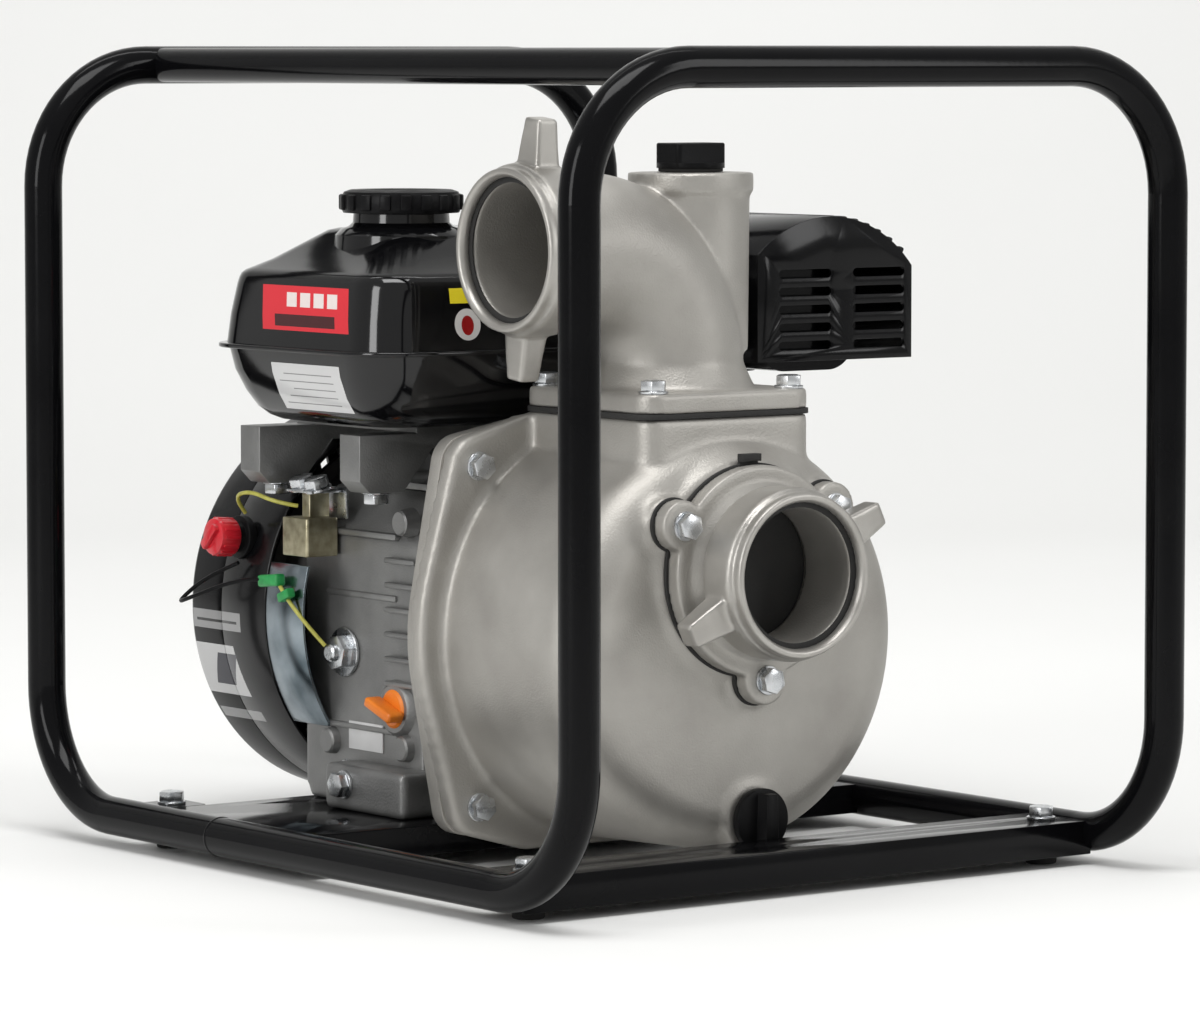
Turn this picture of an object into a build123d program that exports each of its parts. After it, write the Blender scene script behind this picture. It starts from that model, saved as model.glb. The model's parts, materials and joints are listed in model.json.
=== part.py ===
"""Portable fire pump: a self-priming 3-inch centrifugal pump on a single-cylinder engine in a tube frame.

Millimetres, +Z up. The origin is the middle of the object's box, on the floor.
-Y is the pump's suction side, +Y the engine's starter side, -X the discharge side.
"""
import math
import os

from build123d import *

os.makedirs("parts", exist_ok=True)

# ---------------------------------------------------------------- driving dimensions
frame_width = 402.0        # rail centreline to rail centreline
frame_depth = 523.0        # front post centreline to rear post centreline
rail_z = 17.0              # bottom rail centreline above the floor
top_z = 447.0              # top bar centreline above the floor
tube_r = 11.0
tube_bore_r = 9.0
bend_r = 70.0              # every bend, on the centreline
hoop_joint_y = 76.0        # where the two halves of the loop meet on the rails
side_bar_x = 121.0
side_bar_r = 10.0
sheet = 3.0                # pressed steel of the cross members

axis_z = 131.0             # crankshaft and pump axis above the floor
port_z = 172.0             # suction port axis
outlet_y = -72.0           # discharge flange centre
elbow_z = 347.0            # discharge port axis

flange_r = 134.0           # pump casing's rear flange
flange_front_y = -24.0
flange_rear_y = -12.0
ear_offset = 95.0          # casing bolts, each way from the axis
drum_r = 119.0
drum_front_y = -143.0
casing_wall = 7.0
neck_x = 116.0             # outlet neck and flange, across
neck_y = 118.0             # outlet neck and flange, fore and aft
neck_top_z = 255.0

port_bore_r = 37.0         # both hose ports
port_thread_r = 41.5
nut_clearance = 0.06
nut_r = 47.5
nut_mouth_r = 40.0
lug_reach = 73.0

pto_y = 10.0               # engine face that the pump bolts to
engine_base_z = 25.0
cylinder_tilt = 25.0       # degrees above level, towards +X
cylinder_bore_r = 34.0
stroke = 54.0
deck = 136.0               # crank axis to the top of the cylinder
cylinder_y = 72.0          # cylinder axis along the crankshaft

recoil_r = 116.0
pulley_r = 60.0

tank_x = (-155.0, 45.0)
tank_y = (-12.0, 175.0)
tank_seam_z = 288.0
cap_x = -80.0
cap_y = 72.0

bolt_r = 4.0               # M8
bolt_clear_r = 4.5
bolt_flats = 13.0
bolt_head = 5.6


# ---------------------------------------------------------------- helpers
def facing_front(y):
    """A plane at a given Y that faces -Y: its x is +X and its y is +Z."""
    return Plane.XZ.offset(-y)


def facing_right(x):
    """A plane at a given X that faces +X: its x is +Y and its y is +Z."""
    return Plane.YZ.offset(x)


def crank_plane(y):
    """A plane that faces -Y with its origin on the crankshaft axis."""
    return Plane(origin=(0, y, axis_z), x_dir=(1, 0, 0), z_dir=(0, -1, 0))


def port_plane(y):
    """A plane that faces -Y with its origin on the suction axis."""
    return Plane(origin=(0, y, port_z), x_dir=(1, 0, 0), z_dir=(0, -1, 0))


def discharge_plane(x):
    """A plane that faces -X with its origin on the discharge axis; its x is -Y and its y is +Z."""
    return Plane(origin=(x, outlet_y, elbow_z), x_dir=(0, -1, 0), z_dir=(-1, 0, 0))


def cylinder_plane(distance):
    """A plane across the engine's cylinder, a distance from the crank axis; its x is +Y."""
    tilt = math.radians(cylinder_tilt)
    along = Vector(math.cos(tilt), 0, math.sin(tilt))
    return Plane(origin=Vector(0, cylinder_y, axis_z) + along * distance, x_dir=(0, 1, 0), z_dir=along)


def half_loop(end_y, post_y):
    """Centreline of one half of the frame: two rail ends, two posts and a top bar."""
    half = frame_width / 2
    corners = [
        (-half, end_y, rail_z),
        (-half, post_y, rail_z),
        (-half, post_y, top_z),
        (half, post_y, top_z),
        (half, post_y, rail_z),
        (half, end_y, rail_z),
    ]
    return FilletPolyline(*corners, radius=bend_r)


def solid_rail(side):
    """The outside of a bottom rail, used to cut what is welded to it."""
    with BuildPart() as rail:
        with BuildSketch(facing_front(frame_depth / 2 - bend_r)):
            with Locations((side * frame_width / 2, rail_z)):
                Circle(tube_r)
        extrude(amount=frame_depth - 2 * bend_r)
    return rail.part


def hex_bolts(seats, grip):
    """Hexagon bolts with washers, one on each seat plane."""
    washer_r = bolt_flats * 0.62
    washer_t = 1.5
    for seat in seats:
        ring(seat, washer_r, 0, washer_t)
        with BuildSketch(seat.offset(washer_t)) as head:
            RegularPolygon(bolt_flats / 2, 6, major_radius=False)
        extrude(head.sketch, amount=bolt_head)
        ring(seat, bolt_r, 0, -grip)


def drill(seats, radius, depth):
    """Round holes from each seat plane into the piece being built."""
    for seat in seats:
        ring(seat, radius, 0, -depth, mode=Mode.SUBTRACT)


def ring(plane, outer_r, inner_r, length, mode=Mode.ADD):
    """A plain ring that grows from a plane along its normal."""
    with BuildSketch(plane) as profile:
        Circle(outer_r)
        if inner_r > 0:
            Circle(inner_r, mode=Mode.SUBTRACT)
    extrude(profile.sketch, amount=length, mode=mode)


def turned(plane, degrees):
    """A plane turned about its own normal."""
    angle = math.radians(degrees)
    across = plane.x_dir * math.cos(angle) + plane.y_dir * math.sin(angle)
    return Plane(origin=plane.origin, x_dir=across, z_dir=plane.z_dir)


def polar(radius, degrees):
    """A point on a circle, as a plane's local x and y."""
    return (radius * math.cos(math.radians(degrees)), radius * math.sin(math.radians(degrees)))


# ---------------------------------------------------------------- frame
half_width = frame_width / 2
half_depth = frame_depth / 2
foot_x = 178.0
front_foot_y = -185.0
rear_foot_y = 163.0
foot_top_z = 22.0
foot_seats_z = foot_top_z + sheet
spigot_r = tube_bore_r - 0.05
spigot_length = 28.0
rails = [solid_rail(-1), solid_rail(1)]

with BuildPart() as front_frame_hoop:
    with BuildLine() as front_line:
        half_loop(hoop_joint_y, -half_depth)
    with BuildSketch(facing_front(hoop_joint_y)):
        with Locations((-half_width, rail_z)):
            Circle(tube_r)
            Circle(tube_bore_r, mode=Mode.SUBTRACT)
    sweep(path=front_line.line)
    # the ends are swaged down and go into the rear half
    with BuildSketch(facing_front(hoop_joint_y + spigot_length)):
        with Locations((-half_width, rail_z), (half_width, rail_z)):
            Circle(spigot_r)
            Circle(spigot_r - 2.0, mode=Mode.SUBTRACT)
    extrude(amount=spigot_length)
    with BuildSketch(facing_front(hoop_joint_y)):
        with Locations((-half_width, rail_z), (half_width, rail_z)):
            Circle(tube_bore_r)
            Circle(spigot_r - 2.0, mode=Mode.SUBTRACT)
    extrude(amount=4.0)
front_frame_hoop.part.label = "front_frame_hoop"
export_step(front_frame_hoop.part, "parts/front_frame_hoop.step")

with BuildPart() as rear_frame_hoop:
    with BuildLine() as rear_line:
        half_loop(hoop_joint_y, half_depth)
    with BuildSketch(facing_front(hoop_joint_y)):
        with Locations((-half_width, rail_z)):
            Circle(tube_r)
            Circle(tube_bore_r, mode=Mode.SUBTRACT)
    sweep(path=rear_line.line)
rear_frame_hoop.part.label = "rear_frame_hoop"
export_step(rear_frame_hoop.part, "parts/rear_frame_hoop.step")

with BuildPart() as top_side_bars:
    with BuildSketch(facing_front(half_depth)):
        with Locations((-side_bar_x, top_z), (side_bar_x, top_z)):
            Circle(side_bar_r)
            Circle(side_bar_r - 2.0, mode=Mode.SUBTRACT)
    extrude(amount=frame_depth)
    # the ends are coped to sit on the two top bars
    for end_y in (-half_depth, half_depth):
        with BuildSketch(facing_right(-half_width)):
            with Locations((end_y, top_z)):
                Circle(tube_r)
        extrude(amount=frame_width, mode=Mode.SUBTRACT)
top_side_bars.part.label = "top_side_bars"
export_step(top_side_bars.part, "parts/top_side_bars.step")


def channel(front_y, rear_y, bottom_z, upper_z):
    """An inverted U of sheet steel between the rails, open below."""
    with BuildSketch(facing_right(-half_width)) as profile:
        with Locations(((front_y + rear_y) / 2, (bottom_z + upper_z) / 2)):
            Rectangle(rear_y - front_y, upper_z - bottom_z)
        with Locations(((front_y + rear_y) / 2, (bottom_z + upper_z) / 2 - sheet)):
            Rectangle(rear_y - front_y - 2 * sheet, upper_z - bottom_z, mode=Mode.SUBTRACT)
    extrude(profile.sketch, amount=frame_width)
    for rail in rails:
        add(rail, mode=Mode.SUBTRACT)


def keep_between_rails():
    """Drop what is left outside the rails after they are cut away."""
    reach = half_width - 5.0
    with BuildSketch(Plane.XY) as inside:
        Rectangle(2 * reach, frame_depth)
    extrude(inside.sketch, amount=top_z, mode=Mode.INTERSECT)


front_member_y = (-207.0, -161.0)
with BuildPart() as front_crossmember:
    channel(front_member_y[0], front_member_y[1], 6.0, foot_seats_z)
    keep_between_rails()
    with BuildSketch(Plane.XY.offset(foot_seats_z)):
        with Locations((-foot_x, front_foot_y), (foot_x, front_foot_y)):
            Circle(bolt_clear_r)
    extrude(amount=-2 * sheet, mode=Mode.SUBTRACT)
front_crossmember.part.label = "front_crossmember"
export_step(front_crossmember.part, "parts/front_crossmember.step")

engine_member_y = (-1.5, 147.0)
engine_bolt_x = 81.0
engine_bolt_y = (36.0, 111.5)
engine_bolt_places = [(x, y) for x in (-engine_bolt_x, engine_bolt_x) for y in engine_bolt_y]
with BuildPart() as engine_crossmember:
    channel(engine_member_y[0], engine_member_y[1], 8.0, engine_base_z)
    keep_between_rails()
    with BuildSketch(Plane.XY.offset(engine_base_z)):
        with Locations(*engine_bolt_places):
            Circle(bolt_clear_r)
    extrude(amount=-2 * sheet, mode=Mode.SUBTRACT)
engine_crossmember.part.label = "engine_crossmember"
export_step(engine_crossmember.part, "parts/engine_crossmember.step")

tab_size = 30.0
with BuildPart() as rear_foot_tabs:
    with BuildSketch(Plane.XY.offset(foot_top_z)):
        for side in (-1, 1):
            with Locations((side * (foot_x + 3.0), rear_foot_y)):
                RectangleRounded(tab_size + 6.0, tab_size, 4.0)
        with Locations((-foot_x, rear_foot_y), (foot_x, rear_foot_y)):
            Circle(bolt_clear_r, mode=Mode.SUBTRACT)
    extrude(amount=sheet)
    for rail in rails:
        add(rail, mode=Mode.SUBTRACT)
    keep_between_rails()
rear_foot_tabs.part.label = "rear_foot_tabs"
export_step(rear_foot_tabs.part, "parts/rear_foot_tabs.step")

foot_places = [(x, y) for x in (-foot_x, foot_x) for y in (front_foot_y, rear_foot_y)]
foot_wide_r = 11.5
foot_tip_r = 8.5
with BuildPart() as rubber_feet:
    for place in foot_places:
        with BuildSketch(Plane.XY):
            with Locations(place):
                Circle(foot_tip_r)
        with BuildSketch(Plane.XY.offset(foot_top_z)):
            with Locations(place):
                Circle(foot_wide_r)
        loft()
    with BuildSketch(Plane.XY.offset(foot_top_z)):
        with Locations(*foot_places):
            Circle(bolt_r + 0.1)
    extrude(amount=-18.0, mode=Mode.SUBTRACT)
rubber_feet.part.label = "rubber_feet"
export_step(rubber_feet.part, "parts/rubber_feet.step")

foot_seats = [Plane.XY.offset(foot_seats_z).shift_origin(Vector(x, y, foot_seats_z)) for x, y in foot_places]
engine_foot = 12.0
engine_thread = 7.0
engine_seats = [
    Plane(origin=(x, y, engine_base_z - sheet), z_dir=(0, 0, -1)) for x, y in engine_bolt_places
]
# ---------------------------------------------------------------- pump casing
ears = [(sx * ear_offset, sz * ear_offset) for sx in (-1, 1) for sz in (-1, 1)]
ear_r = 17.0
flange_floor = 9.0         # the flange is cut flat this far above the floor


def flange_outline(radius):
    """The casing flange: a disc with four bolt ears, cut flat above and below."""
    Circle(radius)
    for x, z in ears:
        with Locations((x, z)):
            Circle(ear_r)
    make_hull()
    with Locations((0, flange_floor - axis_z - 50.0), (0, neck_top_z - 2.0 - axis_z + 50.0)):
        Rectangle(400.0, 100.0, mode=Mode.SUBTRACT)


def drum_section(radius, front, rear, corner):
    """Half section of the pump drum: x is the radius and y runs along the axis."""
    with BuildLine() as outline:
        Polyline((0, rear), (radius, rear), (radius - 4.0, front + 2.0), (0, front - 1.5), (0, rear))
    make_face(outline.edges())
    fillet(vertices().group_by(Axis.X)[-2], corner)


def revolved_drum(radius, front, rear, corner, mode=Mode.ADD):
    """The drum about the pump axis."""
    with BuildSketch(Plane.XY.offset(axis_z)) as section:
        drum_section(radius, front, rear, corner)
    revolve(section.sketch, axis=Axis((0, 0, axis_z), (0, 1, 0)), mode=mode)


casing_seats = [crank_plane(flange_front_y).shift_origin(Vector(x, flange_front_y, axis_z + z)) for x, z in ears]
pad_angles = (33.0, 153.0, 273.0)
pad_bolt_r = 60.0
pad_y = -146.0
gasket_t = 2.0
suction_plate = 10.0
suction_seat_y = pad_y - gasket_t - suction_plate
outlet_bolt_x = 94.0
outlet_bolt_y = 98.0
outlet_gasket = 3.0
outlet_plate = 11.0
outlet_plate_z = neck_top_z + outlet_gasket
outlet_seat_z = outlet_plate_z + outlet_plate
outlet_places = [
    (sx * outlet_bolt_x / 2, outlet_y + sy * outlet_bolt_y / 2) for sx in (-1, 1) for sy in (-1, 1)
]


def three_ears(body_r, ear_radius):
    """Outline of the suction flange: a disc with three bolt ears."""
    Circle(body_r)
    for angle in pad_angles:
        with Locations(polar(pad_bolt_r, angle)):
            Circle(ear_radius)


def pad_seats(y):
    """The three suction bolt seats at a given Y."""
    places = [polar(pad_bolt_r, angle) for angle in pad_angles]
    return [Plane(origin=(x, y, port_z + z), x_dir=(1, 0, 0), z_dir=(0, -1, 0)) for x, z in places]


def outlet_seats(z):
    """The four discharge bolt seats at a given height."""
    return [Plane(origin=(x, y, z), z_dir=(0, 0, 1)) for x, y in outlet_places]


drain_x = 6.0
drain_z = 34.0
drain_boss_r = 20.0
drain_face_y = -144.0
drain_thread_r = 10.0


def drain_plane(y):
    """A plane that faces -Y with its origin on the drain axis."""
    return Plane(origin=(drain_x, y, drain_z), x_dir=(1, 0, 0), z_dir=(0, -1, 0))


port_boss_r = 76.0
inlet_r = 40.3              # the casing's suction hole, which the flap swings in
neck_corner = 12.0
inner_neck = 2 * casing_wall + 2.0
pipe_r = port_bore_r + 5.0
o_ring_inner_r = 115.0
o_ring_outer_r = 118.0
drum_inner_front_y = drum_front_y + casing_wall

with BuildPart() as pump_casing:
    with BuildSketch(crank_plane(flange_rear_y)):
        flange_outline(flange_r)
    extrude(amount=flange_rear_y - flange_front_y)
    fillet(pump_casing.edges().filter_by(Axis.Y, reverse=True).group_by(Axis.Y)[0], 2.0)
    revolved_drum(drum_r, drum_front_y, flange_rear_y - 2.0, 26.0)
    # the outlet neck, square with round corners
    with BuildSketch(Plane.XY.offset(axis_z)):
        with Locations((0, outlet_y)):
            RectangleRounded(neck_x, neck_y, neck_corner)
    extrude(amount=neck_top_z - axis_z)
    # the suction boss swells out of the drum's front
    with BuildSketch(port_plane(-112.0)):
        Circle(port_boss_r + 4.0)
    with BuildSketch(port_plane(pad_y + 3.0)):
        Circle(port_boss_r - 14.0)
    loft()
    with BuildSketch(port_plane(-120.0)):
        three_ears(port_boss_r - 16.0, 15.0)
    extrude(amount=-pad_y - 120.0)
    with BuildSketch(drain_plane(-118.0)):
        Circle(drain_boss_r)
    extrude(amount=-drain_face_y - 118.0)
    # inside: the water space, the neck and the suction hole
    revolved_drum(drum_r - casing_wall, drum_inner_front_y, flange_rear_y, 20.0, mode=Mode.SUBTRACT)
    with BuildSketch(Plane.XY.offset(axis_z)):
        with Locations((0, outlet_y)):
            RectangleRounded(neck_x - inner_neck, neck_y - inner_neck, neck_corner - 6.0)
    extrude(amount=neck_top_z - axis_z, mode=Mode.SUBTRACT)
    with BuildSketch(port_plane(pad_y)):
        Circle(inlet_r)
    extrude(amount=-40.0, mode=Mode.SUBTRACT)
    with BuildSketch(drain_plane(drain_face_y)):
        Circle(drain_thread_r + 0.05)
    extrude(amount=-34.0, mode=Mode.SUBTRACT)
    ring(crank_plane(flange_rear_y), o_ring_outer_r, o_ring_inner_r, 3.0, mode=Mode.SUBTRACT)
    drill(casing_seats, bolt_clear_r, 30.0)
    drill(pad_seats(pad_y), bolt_r + 0.05, 16.0)
    drill(outlet_seats(neck_top_z), bolt_r + 0.05, 16.0)
pump_casing.part.label = "pump_casing"
export_step(pump_casing.part, "parts/pump_casing.step")

back_hub_r = 82.0
back_front_y = flange_rear_y
back_rear_y = -2.0
seal_bore_r = 19.0
with BuildPart() as pump_back_plate:
    with BuildSketch(crank_plane(back_rear_y)):
        flange_outline(flange_r - 6.0)
    extrude(amount=back_rear_y - back_front_y)
    ring(crank_plane(pto_y), back_hub_r, 0, pto_y - back_rear_y)
    with BuildSketch(crank_plane(pto_y)):
        Circle(seal_bore_r)
    extrude(amount=pto_y - back_front_y, mode=Mode.SUBTRACT)
    drill([seat.offset(flange_front_y - back_front_y) for seat in casing_seats], bolt_r + 0.05, 30.0)
pump_back_plate.part.label = "pump_back_plate"
export_step(pump_back_plate.part, "parts/pump_back_plate.step")

volute_r = 88.0
volute_front_y = -62.0
eye_r = 30.0
with BuildPart() as inner_volute:
    ring(crank_plane(back_front_y), volute_r, 0, back_front_y - volute_front_y)
    ring(crank_plane(volute_front_y), eye_r + 6.0, 0, 26.0)
    ring(crank_plane(back_front_y), volute_r - 8.0, 0, 40.0, mode=Mode.SUBTRACT)
    ring(crank_plane(back_front_y), eye_r, 0, 90.0, mode=Mode.SUBTRACT)
    # the delivery slot in the rim, towards the outlet neck
    with BuildSketch(crank_plane(back_front_y - 8.0)):
        with Locations((-40.0, volute_r - 12.0)):
            Rectangle(34.0, 40.0)
    extrude(amount=26.0, mode=Mode.SUBTRACT)
inner_volute.part.label = "inner_volute"
export_step(inner_volute.part, "parts/inner_volute.step")

with BuildPart() as suction_gasket:
    with BuildSketch(port_plane(pad_y)):
        three_ears(port_boss_r - 17.0, 15.0)
        Circle(port_bore_r + 2.0, mode=Mode.SUBTRACT)
        for angle in pad_angles:
            with Locations(polar(pad_bolt_r, angle)):
                Circle(bolt_clear_r, mode=Mode.SUBTRACT)
    extrude(amount=gasket_t)
    with BuildSketch(port_plane(pad_y)):
        with Locations((-2.0, port_boss_r - 18.0)):
            Rectangle(13.0, 12.0)
    extrude(amount=gasket_t + 3.0)
    with BuildSketch(port_plane(pad_y - gasket_t)):
        Circle(port_boss_r - 16.0)
    extrude(amount=4.0, mode=Mode.SUBTRACT)
suction_gasket.part.label = "suction_gasket"
export_step(suction_gasket.part, "parts/suction_gasket.step")

suction_mouth_y = -188.0
with BuildPart() as suction_flange:
    with BuildSketch(port_plane(pad_y - gasket_t)):
        three_ears(port_boss_r - 18.0, 14.0)
    extrude(amount=suction_plate)
    fillet(suction_flange.edges().group_by(Axis.Y)[0], 1.5)
    with BuildSketch(port_plane(suction_seat_y)):
        Circle(port_thread_r + 8.0)
    with BuildSketch(port_plane(suction_seat_y - 6.0)):
        Circle(port_thread_r)
    loft()
    ring(port_plane(suction_seat_y - 5.0), port_thread_r, 0, suction_seat_y - 5.0 - suction_mouth_y)
    ring(port_plane(pad_y - gasket_t), port_bore_r, 0, 60.0, mode=Mode.SUBTRACT)
    drill(pad_seats(suction_seat_y), bolt_clear_r, 20.0)
suction_flange.part.label = "suction_flange"
export_step(suction_flange.part, "parts/suction_flange.step")

with BuildPart() as discharge_gasket:
    with BuildSketch(Plane.XY.offset(neck_top_z)):
        with Locations((0, outlet_y)):
            RectangleRounded(neck_x + 3.0, neck_y - 0.6, neck_corner)
            RectangleRounded(neck_x - inner_neck, neck_y - inner_neck, neck_corner - 6.0, mode=Mode.SUBTRACT)
        with Locations(*outlet_places):
            Circle(bolt_clear_r, mode=Mode.SUBTRACT)
    extrude(amount=outlet_gasket)
discharge_gasket.part.label = "discharge_gasket"
export_step(discharge_gasket.part, "parts/discharge_gasket.step")

# ---------------------------------------------------------------- discharge elbow
elbow_mouth_x = -106.0
elbow_bend = 62.0
prime_x = 16.0
prime_r = 33.0
prime_flange_r = 35.0
prime_top_z = 388.0
prime_flange = 11.0
prime_bore_r = 14.0
elbow_path_z = outlet_plate_z


def elbow_centreline():
    """From the flange straight up, round the bend and out to the left."""
    return FilletPolyline(
        (0, outlet_y, elbow_path_z),
        (0, outlet_y, elbow_z),
        (elbow_mouth_x, outlet_y, elbow_z),
        radius=elbow_bend,
    )


with BuildPart() as discharge_elbow:
    with BuildSketch(Plane.XY.offset(outlet_plate_z)):
        with Locations((0, outlet_y)):
            RectangleRounded(neck_x, neck_y, neck_corner)
    extrude(amount=outlet_plate)
    fillet(discharge_elbow.faces().sort_by(Axis.Z)[-1].edges(), 1.5)
    # the pipe widens to the flange
    with BuildSketch(Plane.XY.offset(outlet_seat_z - 1.0)):
        with Locations((0, outlet_y)):
            Circle(pipe_r + 7.0)
    with BuildSketch(Plane.XY.offset(outlet_seat_z + 14.0)):
        with Locations((0, outlet_y)):
            Circle(pipe_r)
    loft()
    with BuildLine() as outer_path:
        elbow_centreline()
    with BuildSketch(Plane.XY.offset(elbow_path_z)):
        with Locations((0, outlet_y)):
            Circle(pipe_r)
    sweep(path=outer_path.line)
    # the priming neck stands on the bend
    with BuildSketch(Plane.XY.offset(outlet_seat_z + 20.0)):
        with Locations((prime_x, outlet_y)):
            Circle(prime_r - 1.0)
    with BuildSketch(Plane.XY.offset(prime_top_z)):
        with Locations((prime_x, outlet_y)):
            Circle(prime_r)
    loft()
    with BuildSketch(Plane.XY.offset(prime_top_z - prime_flange)):
        with Locations((prime_x, outlet_y)):
            Circle(prime_flange_r)
    extrude(amount=prime_flange)
    with BuildLine() as inner_path:
        elbow_centreline()
    with BuildSketch(Plane.XY.offset(elbow_path_z)):
        with Locations((0, outlet_y)):
            Circle(port_bore_r)
    sweep(path=inner_path.line, mode=Mode.SUBTRACT)
    with BuildSketch(Plane.XY.offset(prime_top_z)):
        with Locations((prime_x, outlet_y)):
            Circle(prime_bore_r + 0.05)
    extrude(amount=-40.0, mode=Mode.SUBTRACT)
    # male thread for the hose coupling nut, held a hair under the pipe's size
    ring(discharge_plane(elbow_mouth_x + 24.0), pipe_r + 4.0, port_thread_r, 30.0, mode=Mode.SUBTRACT)
    drill(outlet_seats(outlet_seat_z), bolt_clear_r, 14.0)
discharge_elbow.part.label = "discharge_elbow"
export_step(discharge_elbow.part, "parts/discharge_elbow.step")

nut_length = 30.0
lip = 6.0


def coupling_nut(back, lug_angles):
    """A hose coupling nut that grows from its back plane, with two lugs to knock it round."""
    ring(back, nut_r, 0, nut_length)
    for angle in lug_angles:
        with BuildSketch(turned(back, angle).offset(1.0)) as lug:
            with BuildLine():
                Polyline((nut_r - 4.0, -12.0), (lug_reach, -7.5), (lug_reach, 7.5), (nut_r - 4.0, 12.0), close=True)
            make_face()
        extrude(lug.sketch, amount=17.0)
    ring(back, port_thread_r + nut_clearance, 0, nut_length - lip, mode=Mode.SUBTRACT)
    ring(back, nut_mouth_r, 0, nut_length, mode=Mode.SUBTRACT)


suction_nut_y = -165.0
with BuildPart() as suction_coupling_nut:
    coupling_nut(port_plane(suction_nut_y), (25.0, 205.0))
    fillet(suction_coupling_nut.faces().sort_by(Axis.Y)[0].outer_wire().edges(), 2.0)
suction_coupling_nut.part.label = "suction_coupling_nut"
export_step(suction_coupling_nut.part, "parts/suction_coupling_nut.step")

discharge_nut_x = elbow_mouth_x + 23.0
with BuildPart() as discharge_coupling_nut:
    coupling_nut(discharge_plane(discharge_nut_x), (83.0, 263.0))
    fillet(discharge_coupling_nut.faces().sort_by(Axis.X)[0].outer_wire().edges(), 2.0)
discharge_coupling_nut.part.label = "discharge_coupling_nut"
export_step(discharge_coupling_nut.part, "parts/discharge_coupling_nut.step")

seal_t = 0.8
with BuildPart() as seal_rings:
    ring(crank_plane(flange_rear_y), o_ring_outer_r, o_ring_inner_r, 3.0)
    ring(port_plane(suction_mouth_y), port_thread_r - 0.5, port_bore_r, seal_t)
    ring(discharge_plane(elbow_mouth_x), port_thread_r - 0.5, port_bore_r, seal_t)
seal_rings.part.label = "seal_rings"
export_step(seal_rings.part, "parts/seal_rings.step")

flap_r = 39.0
flap_y = pad_y + 0.4
flap_pin_r = 2.3
flap_pin_half = 11.0
flap_pin_up = 36.0
with BuildPart() as check_valve_flap:
    ring(port_plane(flap_y + 5.0), flap_r - 0.5, 0, 5.0)
    with BuildSketch(port_plane(flap_y + 5.0)):
        with Locations((0, flap_r - 6.0)):
            Rectangle(12.0, 9.0)
    extrude(amount=5.0)
    ring(port_plane(flap_y + 13.0), 20.0, 0, 8.0)
    # the hinge pin across the top of the flap
    with BuildSketch(facing_right(-flap_pin_half)):
        with Locations((flap_y + 2.5, port_z + flap_pin_up)):
            Circle(flap_pin_r)
    extrude(amount=2 * flap_pin_half)
check_valve_flap.part.label = "check_valve_flap"
export_step(check_valve_flap.part, "parts/check_valve_flap.step")

# ---------------------------------------------------------------- priming plug and drain plug
face_gap = 0.3             # between a screwed piece and the face that it would close on
plug_flange_r = 19.0
plug_flange = 3.0
seal_ring = 2.0
plug_square = 34.0
plug_height = 14.0


def plug_seal(face):
    """A flat rubber ring under a plug's flange."""
    ring(face, plug_flange_r - 1.0, prime_bore_r + 0.3, seal_ring)


prime_face = Plane(origin=(prime_x, outlet_y, prime_top_z + face_gap), z_dir=(0, 0, 1))
with BuildPart() as priming_plug_seal:
    plug_seal(prime_face)
priming_plug_seal.part.label = "priming_plug_seal"
export_step(priming_plug_seal.part, "parts/priming_plug_seal.step")

with BuildPart() as priming_plug:
    ring(prime_face.offset(seal_ring), plug_flange_r, 0, plug_flange)
    with BuildSketch(prime_face.offset(seal_ring + plug_flange)):
        RectangleRounded(plug_square, 22.0, 3.0)
    extrude(amount=plug_height - plug_flange)
    fillet(priming_plug.faces().sort_by(Axis.Z)[-1].edges(), 1.2)
    with BuildSketch(prime_face.offset(seal_ring)):
        Circle(prime_bore_r)
    extrude(amount=-seal_ring - 14.0)
priming_plug.part.label = "priming_plug"
export_step(priming_plug.part, "parts/priming_plug.step")

drain_head_r = 17.5
drain_head = 5.0
drain_wing = 8.5
with BuildPart() as drain_plug_seal:
    ring(drain_plane(drain_face_y), drain_thread_r + 5.0, drain_thread_r + 0.3, seal_ring)
drain_plug_seal.part.label = "drain_plug_seal"
export_step(drain_plug_seal.part, "parts/drain_plug_seal.step")

with BuildPart() as drain_plug:
    ring(drain_plane(drain_face_y - seal_ring - face_gap), drain_head_r, 0, drain_head)
    with BuildSketch(drain_plane(drain_face_y - seal_ring - face_gap - drain_head)):
        with BuildLine():
            Polyline((-4.5, -15.0), (4.5, -15.0), (3.5, 15.0), (-3.5, 15.0), close=True)
        make_face()
    extrude(amount=drain_wing)
    ring(drain_plane(drain_face_y + 12.0), drain_thread_r, 0, 12.0 + seal_ring + face_gap)
drain_plug.part.label = "drain_plug"
export_step(drain_plug.part, "parts/drain_plug.step")

# ---------------------------------------------------------------- rotating group
shaft_r = 10.0
impeller_r = 74.0
blade_count = 5
with BuildPart() as impeller:
    ring(crank_plane(-19.0), impeller_r, 0, 5.0)
    ring(crank_plane(-14.5), 17.0, 0, 26.0)
    for number in range(blade_count):
        turn = number * 360.0 / blade_count
        with BuildSketch(turned(crank_plane(-23.0), turn)):
            with BuildLine():
                blade_out = ThreePointArc((16.0, 0), (48.0, 16.0), (70.0, 0))
                offset(amount=1.6, side=Side.BOTH)
            make_face()
        extrude(amount=20.0)
    ring(crank_plane(10.0), shaft_r, 0, 80.0, mode=Mode.SUBTRACT)
impeller.part.label = "impeller"
export_step(impeller.part, "parts/impeller.step")

with BuildPart() as shaft_seal:
    ring(crank_plane(-3.0), seal_bore_r - 1.0, shaft_r, 8.0)
    ring(crank_plane(-11.0), 15.0, shaft_r, 3.5)
shaft_seal.part.label = "shaft_seal"
export_step(shaft_seal.part, "parts/shaft_seal.step")

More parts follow.
